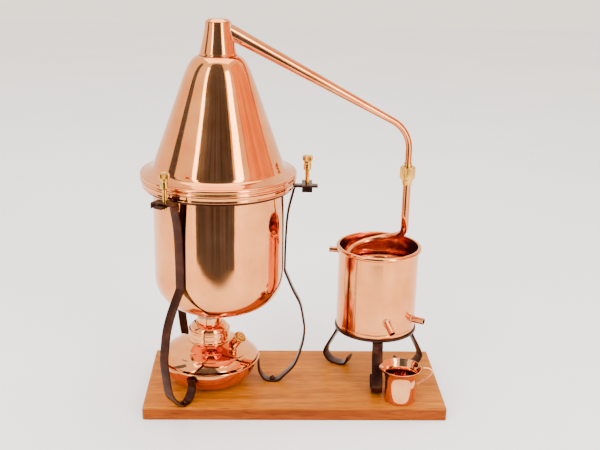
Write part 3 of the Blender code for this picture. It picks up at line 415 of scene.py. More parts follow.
def eased(outline, radius, loop=False):
    """Each corner cut back by the radius and replaced by a short curve, then long runs subdivided."""
    outline = np.array(outline, float)
    before, after = np.roll(outline, 1, axis=0), np.roll(outline, -1, axis=0)
    back, ahead = before - outline, after - outline
    back_length = np.linalg.norm(back, axis=1, keepdims=True)
    ahead_length = np.linalg.norm(ahead, axis=1, keepdims=True)
    start = outline + back / back_length * np.minimum(radius, 0.42 * back_length)
    end = outline + ahead / ahead_length * np.minimum(radius, 0.42 * ahead_length)
    t = np.array((0.0, 0.25, 0.5, 0.75, 1.0))[None, :, None]
    curves = (1 - t) ** 2 * start[:, None] + 2 * t * (1 - t) * outline[:, None] + t ** 2 * end[:, None]
    if not loop:
        curves[0], curves[-1] = outline[0], outline[-1]
    points = curves.reshape(-1, 2)
    if loop:
        points = np.vstack((points, points[:1]))
    length = np.linalg.norm(np.diff(points, axis=0), axis=1)
    keep = np.concatenate(([True], length > 2e-6))
    points, length = points[keep], length[length > 2e-6]
    place = np.concatenate(([0], np.cumsum(length)))
    runs = [np.linspace(s, e, max(2, int((e - s) / 0.005) + 2))[:-1] for s, e in zip(place[:-1], place[1:])]
    marks = np.concatenate(runs + [place[-1:]])
    dense = np.stack((np.interp(marks, place, points[:, 0]), np.interp(marks, place, points[:, 1])), axis=-1)
    return dense[:-1] if loop else dense


def turned(outline, axis, steps=144):
    """Surface of revolution: (x, y, z) = axis + radius times (cos, sin) of the turn, and the height."""
    turn = np.linspace(0, 2 * math.pi, steps, endpoint=False)
    return round_axis(axis, outline[:, :1], turn, outline[:, 1:])


def add_turned(name, outline, axis, finish, body, slot, covers=(), ease=0.0004, steps=144):
    """A turned piece from a closed outline, or from one that starts and ends on the axis."""
    loop = outline[0][0] > 0
    outline = eased(outline, ease, loop)
    return add_piece(name, turned(outline, axis, steps), grid_faces(len(outline), steps, loop), finish, body,
                     slot, covers)


print("surface helpers ready")

# %% [markdown]
# The pot is spun from one sheet: a rounded bottom, a straight wall, then a flange turned out and up to make
# a gutter for the seal.  Its bottom is a superellipse, which is flatter in the middle than a circle.

# %% Pot
SHEET = 0.0010
POT_RADIUS = 0.0765
POT_FLOOR, POT_BELLY = 0.114, 0.050
RIM_FOOT, RIM_RADIUS, RIM_TOP = 0.2705, 0.0893, 0.2768
BRIM_FOOT = RIM_TOP + GAP
POT_WALL = POT_RADIUS - SHEET


def belly(radius, floor, height, count):
    """Quarter superellipse: radius times cos^(2/n), and height times sin^(2/n), with n = 2.63."""
    turn = np.linspace(math.pi / 2, 0, count)[1:]
    power = 2 / 2.63
    rim = (radius * np.cos(turn).clip(0) ** power, floor + height - height * np.sin(turn) ** power)
    return np.vstack(([(0, floor)], np.stack(rim, axis=-1)))


def pot_outline():
    """Outside from the bottom up, over the rim, and down the inside."""
    gutter = RIM_FOOT + SHEET
    outside = [(POT_RADIUS, RIM_FOOT), (RIM_RADIUS, RIM_FOOT), (RIM_RADIUS - 0.0004, RIM_FOOT + 0.0030),
               (RIM_RADIUS + 0.0006, RIM_TOP), (RIM_RADIUS + 0.0006 - SHEET, RIM_TOP),
               (RIM_RADIUS - SHEET, gutter), (POT_WALL, gutter)]
    inside = belly(POT_WALL, POT_FLOOR + SHEET, POT_BELLY - SHEET, 40)[::-1]
    return np.vstack((belly(POT_RADIUS, POT_FLOOR, POT_BELLY, 40), outside, inside))


add_turned("spun_pot", pot_outline(), BOILER, boiler_copper, "pot", "copper", ["pot"], ease=0.0007, steps=180)
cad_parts["rim_gasket"].data.materials[0] = rubber
print("pot is", 2 * POT_RADIUS, "m wide")

# %% [markdown]
# The helm is a spun cone with a rounded shoulder.  At the foot the sheet flares into a brim with two rolled
# beads, and a lip inside reaches down into the pot.  The shoulder is a Bezier curve that leaves the cone in
# the cone's own direction, so that no edge shows.

# %% Helm
FOOT_RADIUS, CONE_FOOT, FLARE_DROP = POT_RADIUS - 0.0011, BRIM_FOOT + 0.0159, 0.0073
SHOULDER_RADIUS, CONE_TOP = 0.0402, CONE_FOOT + 0.0982
HELM_TOP = CONE_TOP + 0.0267
CAP_RADIUS = 0.0212


def shoulder(inset, count):
    """Bezier from the top of the cone, inset along its normal, to the neck."""
    slope = np.array((SHOULDER_RADIUS - FOOT_RADIUS, CONE_TOP - CONE_FOOT))
    slope /= np.linalg.norm(slope)
    start = np.array((SHOULDER_RADIUS, CONE_TOP)) + inset * np.array((-slope[1], slope[0]))
    end = np.array((CAP_RADIUS - inset, HELM_TOP - inset))
    return bezier(start, start + slope * 0.0227, end + (0.0054, -0.0014), end, count)


def helm_outline():
    """Outside from the neck down, round the beads, down the lip and back up the inside."""
    spigot, lip = POT_RADIUS - SHEET - 0.0006, BRIM_FOOT - 0.0150
    roll, channel, bead = (RIM_RADIUS - 0.0008, BRIM_FOOT + 0.0064), RIM_RADIUS - 0.0028, RIM_RADIUS + 0.0012
    flare = spline([(FOOT_RADIUS, CONE_FOOT), (FOOT_RADIUS + 0.0017, CONE_FOOT - 0.0028),
                    (FOOT_RADIUS + 0.0046, CONE_FOOT - 0.0045),
                    (FOOT_RADIUS + 0.0115, CONE_FOOT - FLARE_DROP)], 5)
    main_bead = arc((bead - 0.0017, BRIM_FOOT + 0.0017), 0.0017, 70, -90, 9)
    under = [(spigot, BRIM_FOOT), (spigot, lip), (spigot - SHEET, lip), (spigot - SHEET, BRIM_FOOT + SHEET),
             (channel, BRIM_FOOT + SHEET), (channel, CONE_FOOT - FLARE_DROP - SHEET),
             (FOOT_RADIUS + 0.0040, CONE_FOOT - 0.0045 - SHEET), (FOOT_RADIUS - SHEET, CONE_FOOT - 0.0004)]
    return np.vstack((shoulder(0.0, 26)[::-1], flare, arc(roll, 0.0020, 78, -58, 9), main_bead, under,
                      shoulder(SHEET, 20)))


add_turned("spun_helm", helm_outline(), BOILER, boiler_copper, "helm", "copper", ["helm_cone"], ease=0.0002,
           steps=180)
print("helm top at", round(HELM_TOP, 4), "m")

# %% [markdown]
# A small hollow cap carries the arm.  It is a rolled cone brazed on the helm, closed by a bevelled lid.  The
# hole for the arm is hidden behind the braze, and the arm itself starts just inside it.

# %% Cap and lid
CAP_FOOT, CAP_HEIGHT, CAP_TOP_RADIUS = HELM_TOP + GAP, 0.0358, 0.0142
CAP_TOP = CAP_FOOT + CAP_HEIGHT


def cap_radius(height):
    """Top radius plus the difference times (1 - share of the height) to the power 1.3."""
    share = np.clip((height - CAP_FOOT) / CAP_HEIGHT, 0, 1)
    return CAP_TOP_RADIUS + (CAP_RADIUS - CAP_TOP_RADIUS) * (1 - share) ** 1.3


heights = np.linspace(CAP_FOOT + 0.0022, CAP_TOP, 20)
cap_side = np.stack((cap_radius(heights), heights), axis=-1)
cap_outline = np.vstack(([(CAP_RADIUS + 0.0008, CAP_FOOT), (CAP_RADIUS + 0.0002, CAP_FOOT + 0.0010)],
                         cap_side, cap_side[::-1] - (SHEET, 0), [(CAP_RADIUS - SHEET, CAP_FOOT)]))
add_turned("rolled_cap", cap_outline, BOILER, boiler_copper, "helm", "copper", ["helm_cap"], ease=0.0002)
LID_FOOT = CAP_TOP + GAP
add_turned("cap_lid", [(0, LID_FOOT), (CAP_TOP_RADIUS, LID_FOOT), (CAP_TOP_RADIUS, LID_FOOT + 0.0006),
                       (0.0102, LID_FOOT + 0.0033), (0, LID_FOOT + 0.0033)], BOILER, boiler_copper, "helm",
           "copper", ["helm_lid"], ease=0.0005)
print("cap from", round(CAP_FOOT, 4), "to", round(CAP_TOP, 4))

# %% [markdown]
# Pipes are a circle carried along a path.  At each point the circle needs two directions square to the path.
# They are carried on from point to point and straightened at each step, so that the pipe never twists.


# %% Helper for pipes
def carried(path):
    """Two unit directions at each point of a path, square to it and to each other."""
    ahead = np.gradient(path, axis=0)
    ahead /= np.linalg.norm(ahead, axis=1, keepdims=True)
    side = np.cross(ahead[0], (0.31, 0.23, 0.92) if abs(ahead[0][2]) < 0.8 else (0.95, 0.3, 0))
    sides = []
    for tangent in ahead:
        side = side - side.dot(tangent) * tangent
        side = side / np.linalg.norm(side)
        sides.append(side)
    sides = np.array(sides)
    return sides, np.cross(ahead, sides)


def tube(path, radii, columns):
    """Point = path + radius times (cos of the turn times one side + sin times the other)."""
    one, two = carried(path)
    turn = np.linspace(0, 2 * math.pi, columns, endpoint=False)[None, :, None]
    round_path = np.cos(turn) * one[:, None] + np.sin(turn) * two[:, None]
    return path[:, None] + radii[:, None, None] * round_path


def add_pipe(name, path, radii, wall, finish, body, slot, covers=(), columns=40):
    """An open pipe: along the outside and back through the bore."""
    points = np.concatenate((tube(path, radii, columns), tube(path, radii - wall, columns)[::-1]))
    return add_piece(name, points, grid_faces(len(points), columns, True), finish, body, slot, covers,
                     sharp=50)


def add_rod(name, path, radii, finish, body, slot, covers=(), columns=24):
    """A solid round rod whose ends close to a point on the path."""
    points = np.concatenate((np.repeat(path[:1], columns, axis=0)[None], tube(path, radii, columns),
                             np.repeat(path[-1:], columns, axis=0)[None]))
    return add_piece(name, points, grid_faces(len(points), columns, False), finish, body, slot, covers)


print("pipe helpers ready")

# %% [markdown]
# The arm is a long cone of rolled sheet, 17 mm wide at the cap and 8 mm at the union.  It falls at 28 degrees
# and ends in a bend of 40 mm radius.

# %% Lyne arm
ARM_REACH = float(np.linalg.norm(UNION - BOILER))
ARM_OUT = np.array((*((UNION - BOILER) / ARM_REACH), 0.0))
ARM_FALL, ARM_BEND = math.radians(28.3), 0.040
ARM_ROOT_RADIUS, ARM_END_RADIUS = 0.0084, 0.0040
NUT_FOOT, NUT_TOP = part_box("union_nut")[0].z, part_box("union_nut")[1].z
UNION_JOINT = NUT_FOOT + 0.0080


def arm_line():
    """Root inside the cap, straight fall, bend tangent to both runs, and the upright end."""
    root_height = CAP_TOP - 0.0121
    root = np.array((cap_radius(root_height), root_height))
    fall = np.array((math.cos(ARM_FALL), -math.sin(ARM_FALL)))
    turn = math.pi / 2 - ARM_FALL
    setback = ARM_BEND * math.tan(turn / 2)
    corner = root + fall * (ARM_REACH - root[0]) / fall[0]
    run = root + fall * np.linspace(-0.005, np.linalg.norm(corner - root) - setback, 60)[:, None]
    bend = arc((ARM_REACH - ARM_BEND, corner[1] - setback), ARM_BEND, math.degrees(turn), 0, 26)[1:]
    down = np.stack((np.full(8, ARM_REACH), np.linspace(bend[-1][1], UNION_JOINT + GAP, 9)[1:]), axis=-1)
    flat = np.vstack((run, bend, down))
    share = np.clip((flat - root) @ fall / (np.linalg.norm(corner - root) - setback), 0, 1)
    path = np.array((*BOILER, 0.0)) + flat[:, :1] * ARM_OUT + flat[:, 1:] * UP
    return path, ARM_ROOT_RADIUS + (ARM_END_RADIUS - ARM_ROOT_RADIUS) * share, root, fall


arm_path, arm_radii, arm_root, arm_fall = arm_line()
add_pipe("lyne_arm_pipe", arm_path, arm_radii, 0.0010, pipe_copper, "helm", "copper", ["lyne_arm"])
print("arm", round(float(np.linalg.norm(np.diff(arm_path, axis=0), axis=1).sum()) * 1000), "mm long")

# %% [markdown]
# The arm is brazed into the cap.  The braze follows the line where pipe and cone meet, which is not flat, so
# each of its points slides along the arm until it lies on the cone.


# %% Braze round the arm's root
def seam_on_cap(radius, columns):
    """Points on the arm's skin moved along the arm until their distance from the axis is the cap's radius."""
    fall = arm_fall[0] * ARM_OUT + arm_fall[1] * UP
    rise = -arm_fall[1] * ARM_OUT + arm_fall[0] * UP
    across = np.cross(fall, rise)
    turn = np.linspace(0, 2 * math.pi, columns, endpoint=False)[:, None]
    centre = arm_root[0] * ARM_OUT + arm_root[1] * UP
    points = centre + radius * (np.cos(turn) * rise + np.sin(turn) * across)
    for _ in range(40):
        off = cap_radius(points[:, 2]) - np.linalg.norm(points[:, :2], axis=1)
        points = points + (off * 0.7)[:, None] * fall
    return points + (*BOILER, 0.0)


def add_ring_bead(name, line, radius, finish, body, slot):
    """A round bead along a closed line."""
    closed = np.vstack((line[-1:], line, line[:1]))
    one, two = carried(closed)
    turn = np.linspace(0, 2 * math.pi, 12, endpoint=False)[None, :, None]
    points = (closed[:, None] + radius * (np.cos(turn) * one[:, None] + np.sin(turn) * two[:, None]))[1:-1]
    shift = int(np.argmin(np.linalg.norm(points[-1] - points[0, 0], axis=1)))
    faces = grid_faces(len(points), 12, False)
    last = (len(points) - 1) * 12 + (np.arange(12) + shift) % 12
    first = np.arange(12)
    joint = np.stack((last, np.roll(last, -1), np.roll(first, -1), first), axis=-1)
    return add_piece(name, points, np.vstack((faces, joint)), finish, body, slot)


add_ring_bead("arm_braze", seam_on_cap(0.0085, 72), 0.0011, braze, "helm", "copper")
print("braze follows the cap")

# %% [markdown]
# The union is turned brass: a collar on the arm, a tapered collar on the worm's leg, and a hexagonal nut that
# pulls them together.  The nut's corners are cut off by a cone, top and bottom, as on any bought nut.

# %% Union
TAIL, THREAD, SEAT = 0.0049, 0.0069, 0.0058


NUT_FLATS, NUT_STEPS = 0.0165, 192


def add_nut():
    """Six sides: radius = half the flats / cos of the turn from the nearest flat, capped near the ends."""
    turn = np.linspace(0, 2 * math.pi, NUT_STEPS, endpoint=False)
    flats = NUT_FLATS / 2
    off = (turn + math.pi / 6) % (math.pi / 3) - math.pi / 6
    side = flats / np.cos(off)
    chamfer = 0.0011
    rows = [(NUT_FOOT, flats - 0.0002), (NUT_FOOT + chamfer, flats + chamfer * 1.05),
            (NUT_TOP - chamfer, flats + chamfer * 1.05), (NUT_TOP, flats - 0.0002)]
    rings = [np.stack((np.minimum(side, limit), np.full_like(side, level)), -1) for level, limit in rows]
    seat = UNION_JOINT + 0.0028 + GAP
    inner = [(TAIL + GAP, NUT_TOP), (TAIL + GAP, seat), (THREAD + GAP, seat), (THREAD + GAP, NUT_FOOT)]
    rings += [np.stack((np.full_like(side, r), np.full_like(side, z)), -1) for r, z in inner]
    grid = np.array(rings)
    points = round_axis(UNION, grid[..., 0], turn + math.pi / 2, grid[..., 1])
    add_piece("union_hex_nut", points, grid_faces(len(rings), NUT_STEPS, True), brass, "union_nut", "brass",
              ["union_nut"], sharp=25)


add_nut()
add_turned("union_top_collar", [(0.0043, UNION_JOINT + GAP), (THREAD, UNION_JOINT + GAP),
                                (THREAD, UNION_JOINT + 0.0028), (TAIL, UNION_JOINT + 0.0028),
                                (TAIL, NUT_TOP + 0.0045), (0.0043, NUT_TOP + 0.0045)], UNION, brass, "helm",
           "brass", ["union_upper_collar"], ease=0.0002, steps=64)
add_turned("union_seat_collar", [(0.0051, NUT_FOOT - 0.0071), (SEAT, NUT_FOOT - 0.0071),
                                 (SEAT, NUT_FOOT - 0.0058), (THREAD, NUT_FOOT - 0.0012),
                                 (THREAD, UNION_JOINT), (0.0051, UNION_JOINT)], UNION, brass, "stand",
           "brass", ["union_lower_collar"], ease=0.0002, steps=64)
print("union at", UNION.round(4))

# %% [markdown]
# The worm is drawn pipe.  It comes straight down from the union, sweeps into a coil that winds down inside
# the bucket, and leaves through the wall near the bottom.  The coil falls faster at its start, which is an
# exponential added to the even pitch.

# %% Worm
COIL_RADIUS, COIL_TOP, COIL_FOOT, FIRST_FALL = 0.0380, 0.1865, 0.116, 0.0110
WORM_BEND, WORM_RADIUS, WORM_SLIM, LEG_ROWS = 0.2245, 0.0048, 0.0008, 12
COIL_START, COIL_TURN = math.radians(62), math.radians(235 - 62 + 3 * 360)
BUCKET_RADIUS = 0.0488
SPIRIT_TURN, SPIRIT_HEIGHT, SPIRIT_LENGTH, SPIRIT_ROOT = math.radians(-80.4), 0.1045, 0.0160, 0.0055
SPIRIT_OUT = heading(math.radians(-66), math.radians(-32))
SPIRIT_HOLE = round_axis(BUCKET, BUCKET_RADIUS, SPIRIT_TURN, SPIRIT_HEIGHT)


def on_coil(turned_by):
    """Coil radius times (cos, sin); height = top - 11 mm (1 - e^(-turn/70 degrees)) - even pitch."""
    pitch = (COIL_TOP - COIL_FOOT - FIRST_FALL) / COIL_TURN
    fall = FIRST_FALL * (1 - np.exp(-turned_by / math.radians(70))) + pitch * turned_by
    return round_axis(BUCKET, COIL_RADIUS, COIL_START + turned_by, COIL_TOP - fall)


def worm_line():
    """Upright leg, Bezier into the coil, the coil, and a Bezier out to the outlet."""
    coil = on_coil(np.linspace(0, COIL_TURN, 260))
    entry, leave = coil[1] - coil[0], coil[-1] - coil[-2]
    entry, leave = entry / np.linalg.norm(entry), leave / np.linalg.norm(leave)
    bend = np.array((*UNION, WORM_BEND))
    leg = bend + UP * np.linspace(UNION_JOINT - GAP - WORM_BEND, 0, LEG_ROWS)[:, None]
    sweep = bezier(bend, bend - 0.020 * UP, coil[0] - entry * 0.022, coil[0], 40)[1:-1]
    inside = SPIRIT_HOLE - SPIRIT_OUT * SPIRIT_ROOT
    out = bezier(coil[-1], coil[-1] + leave * 0.016, inside - SPIRIT_OUT * 0.010, inside, 24)[1:]
    mouth = inside + SPIRIT_OUT * np.linspace(0, SPIRIT_ROOT + SPIRIT_LENGTH, 8)[1:, None]
    path = np.vstack((leg, sweep, coil, out, mouth))
    slim = np.clip((np.arange(len(path)) - LEG_ROWS) / 60, 0, 1)
    return path, WORM_RADIUS - WORM_SLIM * slim


worm_path, worm_radii = worm_line()
add_pipe("worm_pipe", worm_path, worm_radii, 0.0008, pipe_copper, "stand", "copper", ["worm_coil"],
         columns=32)
print("worm", round(float(np.linalg.norm(np.diff(worm_path, axis=0), axis=1).sum()), 2), "m long")

# %% [markdown]
# The bucket is rolled from one sheet and seamed, so it has an upright lap on its left side.  Its rim is
# rolled outward over a wire.  Three short pipes pass through the wall, each with a ring of braze.

# %% Bucket
BEAD_HEIGHT = 0.1850
BUCKET_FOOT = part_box("condenser_bucket")[0].z
BUCKET_INNER = BUCKET_RADIUS - SHEET


def bucket_outline():
    """Bottom, wall, three quarters of a round bead, and the inside."""
    bead = arc((BUCKET_RADIUS + 0.0005, BEAD_HEIGHT), 0.0028, -100, 122, 16)
    groove = BUCKET_FOOT + 0.0046
    outside = [(0, BUCKET_FOOT), (BUCKET_RADIUS, BUCKET_FOOT), (BUCKET_RADIUS, groove - 0.0006),
               (BUCKET_RADIUS - 0.0003, groove), (BUCKET_RADIUS, groove + 0.0006)]
    inside = [(BUCKET_INNER, BUCKET_FOOT + SHEET), (0, BUCKET_FOOT + SHEET)]
    return np.vstack((outside, bead, inside))


add_turned("rolled_bucket", bucket_outline(), BUCKET, bucket_copper, "stand", "copper", ["condenser_bucket"],
           ease=0.0005)


def wall_patch(name, turn_low, turn_high, low, high, stand_out, finish):
    """A thin lap on the bucket's wall, with a flat middle: radius = wall + stand_out (1 - across^6)."""
    rows, columns = 12, 25
    turn = np.linspace(turn_low, turn_high, columns)
    rise = stand_out * (1 - np.abs(np.linspace(-1, 1, columns)) ** 6)
    height = np.linspace(low, high, rows)[:, None]
    front = round_axis(BUCKET, BUCKET_RADIUS + rise, turn, height)
    back = round_axis(BUCKET, BUCKET_RADIUS - 0.0004, turn, height)[:, ::-1]
    points = np.concatenate((front, back), axis=1)
    add_piece(name, points, grid_faces(rows, 2 * columns, False), finish, "stand", "copper", capped=True)


wall_patch("bucket_seam", math.radians(-128), math.radians(-121), BUCKET_FOOT + 0.0056, BEAD_HEIGHT - 0.0030,
           0.0005, bucket_copper)


def wall_ring(name, azimuth, height, radius):
    """Bead where a pipe meets the wall: a circle round the pipe, laid on the wall's own curve."""
    turn = np.linspace(0, 2 * math.pi, 48, endpoint=False)
    across, up = radius * np.cos(turn), radius * np.sin(turn)
    line = round_axis(BUCKET, BUCKET_RADIUS + 0.0003, azimuth + across / BUCKET_RADIUS, height + up)
    add_ring_bead(name, line, 0.0010, braze, "stand", "copper")


SPOUT_ROOT = 0.0035        # how far a spout reaches in from the outside of the wall


def add_spout(name, azimuth, height, length, radius, node):
    """A straight pipe through the wall with a ring of braze."""
    out = heading(azimuth)
    root = np.array((*BUCKET, height)) + out * (BUCKET_RADIUS - SPOUT_ROOT)
    path = root + out * np.linspace(0, length + SPOUT_ROOT, 10)[:, None]
    add_pipe(name, path, np.full(len(path), radius), 0.0007, pipe_copper, "stand", "copper", [node])
    wall_ring(name + "_braze", azimuth, height, radius + 0.0002)


add_spout("overflow_pipe", math.radians(170), 0.1776, 0.0117, 0.0035, "overflow_spout")
add_spout("inlet_pipe", math.radians(-32), 0.1010, 0.0160, 0.0040, "water_inlet_spout")
wall_ring("outlet_braze", SPIRIT_TURN, SPIRIT_HEIGHT, 0.0047)
print("bucket wall", BUCKET_RADIUS, "m radius")

# %% [markdown]
# The stands are bent from flat steel strip.  A strip is a rounded rectangle carried along a line in one
# upright plane, so its wide side always faces the same way.


# %% Helper for strips
def strip_section(width, thick, corner=0.0005):
    """Rounded rectangle as (across, through) pairs, with four points in each corner."""
    corners = []
    for sx, sy, start in ((1, 1, 0), (-1, 1, 90), (-1, -1, 180), (1, -1, 270)):
        centre = (sx * (width / 2 - corner), sy * (thick / 2 - corner))
        corners.append(arc(centre, corner, start, start + 90, 4))
    return np.vstack(corners)


def strip(path, width, thick, centre, azimuth):
    """Point = path + across times the plane's normal + through times the path's own normal."""
    out = heading(azimuth)
    across = np.array((-out[1], out[0], 0.0))
    ahead = np.gradient(path, axis=0)
    ahead /= np.linalg.norm(ahead, axis=1, keepdims=True)
    normal = ahead[:, 1:] * out - ahead[:, :1] * UP
    section = strip_section(width, thick)
    line = np.array((*centre, 0.0)) + path[:, :1] * out + path[:, 1:] * UP
    return line[:, None] + section[None, :, :1] * across + section[None, :, 1:] * normal[:, None]


def add_strip(name, path, width, thick, centre, azimuth, finish, body, slot, covers):
    points = strip(path, width, thick, centre, azimuth)
    rows, columns = points.shape[:2]
    ends = np.stack([np.repeat(points[k].mean(0)[None], columns, axis=0) for k in (0, -1)])
    points = np.concatenate((ends[:1], points, ends[1:]))
    return add_piece(name, points, grid_faces(rows + 2, columns, False), finish, body, slot, covers, sharp=50)


def dense(path, step=0.0012):
    """The same line with points at even steps."""
    path = np.array(path, float)
    place = np.concatenate(([0], np.cumsum(np.linalg.norm(np.diff(path, axis=0), axis=1))))
    marks = np.linspace(0, place[-1], int(place[-1] / step) + 2)
    return np.stack((np.interp(marks, place, path[:, 0]), np.interp(marks, place, path[:, 1])), axis=-1)


print("strip helpers ready")

# %% [markdown]
# Each leg of the boiler's stand starts as a lug under the clamp, runs down the pot's side, bows out round the
# burner and ends in a foot that is screwed down.  Two of the feet curl up again in front of the burner.

# %% Legs of the boiler's stand
STRIP_THICK, STRIP_WIDTH = 0.0025, 0.0110
RING_TOP = RIM_FOOT - GAP
RING_FOOT = RING_TOP - 0.0030
RING_INNER, RING_OUTER = POT_RADIUS + 0.0007, POT_RADIUS + 0.0095
LUG_MIDDLE = RING_FOOT + STRIP_THICK / 2
FOOT_MIDDLE = BOARD_TOP + GAP + STRIP_THICK / 2
LEG_FOOT, LEG_BULGE = 0.0650, 0.1035
LEG_STRAY = {"right": 0.0, "back": 0.0, "front": 0.0100}
SCREW_CIRCLE = 0.1025
BURNER_BASE, BURNER_RIM, BURNER_LIP = 0.0320, 0.0615, BOARD_TOP + 0.0313


def bowl_radius(height):
    """Base radius plus the reach times cos^(2/n), where the drop below the rim is sin^(2/n), n = 1.75."""
    edge = BURNER_LIP - 0.00065
    drop = (edge - height) / (edge - BOARD_TOP - GAP)
    level = np.arcsin(np.clip(drop, 0, 1) ** (1.75 / 2))
    return BURNER_BASE + (BURNER_RIM - 0.0026 - BURNER_BASE) * np.cos(level) ** (2 / 1.75)


def curl_radius(radius, height, azimuth):
    """The curl's own radius, or the bowl's edge in that direction plus 1 mm, whichever is more."""
    offset = BURNER - BOILER
    along = offset @ (math.cos(azimuth), math.sin(azimuth))
    aside = max(math.sqrt(offset @ offset - along * along) - STRIP_WIDTH / 2, 0.0)
    bowl = along + math.sqrt(max(float(bowl_radius(height)) ** 2 - aside * aside, 0.0))
    return max(radius, bowl + STRIP_THICK / 2 + 0.0010)


def leg_line(side, azimuth):
    """Lug, quarter bend, down the wall, out to the bulge, in to the foot, and the curl."""
    reach, bulge = LEG_FOOT + LEG_STRAY[side], LEG_BULGE + 0.7 * LEG_STRAY[side]
    waist, neck = POT_RADIUS + 0.0005 + STRIP_THICK / 2, RING_OUTER + GAP + STRIP_THICK / 2
    lug = [(0.1150, LUG_MIDDLE), (neck + 0.0030, LUG_MIDDLE)]
    bend = arc((neck + 0.0030, LUG_MIDDLE - 0.0030), 0.0030, 95, 165, 8)
    wall = spline([bend[-1], (waist + 0.0025, 0.2339), (waist + 0.0004, 0.1966), (waist, 0.1630)], 10)
    outward = spline([(waist, 0.1630), (bulge - 0.0155, 0.1400), (bulge - 0.0060, 0.1205),
                      (bulge - 0.0014, 0.0985), (bulge, 0.0856), (bulge - 0.0025, 0.0663),
                      (reach + 0.0272, 0.0400), (reach + 0.0134, 0.0238),
                      (reach + 0.0080, FOOT_MIDDLE + 0.0014), (reach + 0.0040, FOOT_MIDDLE)], 10)
    down = np.vstack((lug, bend[1:], wall[1:], outward[1:], [(reach - 0.0042, FOOT_MIDDLE)]))
    if side == "back":
        return dense(np.vstack((down, [(reach - 0.0060, FOOT_MIDDLE)])))
    curl = [(reach - 0.0108, BOARD_TOP + 0.0050), (reach - 0.0164, BOARD_TOP + 0.0155),
            (reach - 0.0175, BOARD_TOP + 0.0272)]
    curl = [(curl_radius(r, z, azimuth), z) for r, z in curl]
    return dense(np.vstack((down, spline([down[-1]] + curl, 10)[1:])))


for side, azimuth in SIDES.items():
    add_strip("bent_leg_" + side, leg_line(side, azimuth), STRIP_WIDTH, STRIP_THICK, BOILER, azimuth,
              steel, "stand", "iron", ["pot_leg_" + side])
add_turned("boiler_ring", [(RING_INNER, RING_FOOT), (RING_OUTER, RING_FOOT), (RING_OUTER, RING_TOP),
                           (RING_INNER, RING_TOP)], BOILER, steel, "stand", "iron", ["pot_stand_ring"])
print("legs reach", LEG_BULGE, "m from the boiler's axis")

# %% [markdown]
# The condenser stands on a smaller ring with three legs of wider strip, each ending in an upward curl.

# %% Stand of the condenser
TRIVET_TOP, TRIVET_WIDTH = BUCKET_FOOT - GAP, 0.0130
TRIVET_FOOT, TRIVET_OUTER = TRIVET_TOP - 0.0030, BUCKET_RADIUS + 0.0017


def trivet_line():
    """Weld under the ring, bend, S-curve out and in, and the curl."""
    top, corner = TRIVET_FOOT - GAP - STRIP_THICK / 2, TRIVET_OUTER - 0.0035
    bend = arc((corner, top - 0.0035), 0.0035, 88, 0, 8)
    side = spline([bend[-1], (TRIVET_OUTER + 0.0010, 0.0633), (TRIVET_OUTER + 0.0095, 0.0470),
                   (TRIVET_OUTER + 0.0167, 0.0322), (TRIVET_OUTER + 0.0160, 0.0250),
                   (TRIVET_OUTER + 0.0095, FOOT_MIDDLE + 0.0017), (TRIVET_OUTER - 0.0015, FOOT_MIDDLE)], 10)
    curl = spline([(TRIVET_OUTER - 0.0060, FOOT_MIDDLE), (TRIVET_OUTER - 0.0130, FOOT_MIDDLE + 0.0030),
                   (TRIVET_OUTER - 0.0172, FOOT_MIDDLE + 0.0125)], 10)
    return dense(np.vstack(([(TRIVET_OUTER - 0.0080, top), (corner, top)], bend[1:], side[1:], curl)))


for side, azimuth in TRIVET_SIDES.items():
    add_strip("trivet_leg_" + side, trivet_line(), TRIVET_WIDTH, STRIP_THICK, BUCKET, azimuth, steel, "stand",
              "iron", ["condenser_leg_" + side])
add_turned("trivet_ring", [(TRIVET_OUTER - 0.0095, TRIVET_FOOT), (TRIVET_OUTER, TRIVET_FOOT),
                           (TRIVET_OUTER, TRIVET_TOP), (TRIVET_OUTER - 0.0095, TRIVET_TOP)], BUCKET, steel,
           "stand", "iron", ["condenser_stand_ring"])
print("condenser ring at", round(TRIVET_TOP, 4))

# %% [markdown]
# Each clamp is a steel claw on a brass thumbscrew.  The claw is thinner strip, turned down at both ends.  The
# thumbscrew's head is knurled: its radius swings in and out thirty times round.

# %% Clamps and foot screws
CLAW_WIDTH, CLAW_THICK, CLAW_REACH, CLAW_BEND = 0.0120, 0.0020, 0.0150, 0.0020
CLAW_MIDDLE = LUG_MIDDLE + STRIP_THICK / 2 + GAP + CLAW_THICK / 2
SCREW_STEPS = 180


def claw_line():
    """Two quarter bends of 2 mm at the ends of a level run."""
    end = CLAW_REACH - CLAW_THICK / 2
    bend = arc((end - CLAW_BEND, CLAW_MIDDLE - CLAW_BEND), CLAW_BEND, 0, 90, 8)
    half = np.vstack(([(end, CLAW_MIDDLE - 0.0065)], bend))
    return dense(np.vstack((half, half[::-1] * (-1, 1))), 0.0006)


def thumbscrew(spot):
    """Turned outline with a knurl: radius times 1 - 0.035 (1 - cos(30 turn)) where the head is."""
    tip, barrel, head = LUG_MIDDLE - STRIP_THICK / 2 - 0.0040, 0.2985, 0.3045
    outline = eased([(0, tip), (0.0018, tip), (0.0024, tip + 0.0008), (0.0024, 0.2864), (0.0046, 0.2880),
                     (0.0046, 0.2950), (0.0041, 0.2955), (0.0041, 0.2962), (0.0046, 0.2967), (0.0046, barrel),
                     (0.0060, barrel + 0.0006), (0.0060, head - 0.0008), (0.0052, head),
                     (0.0042, head - 0.0006), (0, head - 0.0006)], 0.0003)
    points = turned(outline, (0, 0), SCREW_STEPS)
    turn = np.linspace(0, 2 * math.pi, SCREW_STEPS, endpoint=False)
    edge = ((outline[:, 0] > 0.0054) & (outline[:, 1] > barrel))[:, None]
    points[..., :2] *= (1 - 0.035 * edge * (1 - np.cos(30 * turn)))[..., None]
    points[..., :2] += spot
    return points, grid_faces(len(outline), SCREW_STEPS, False)


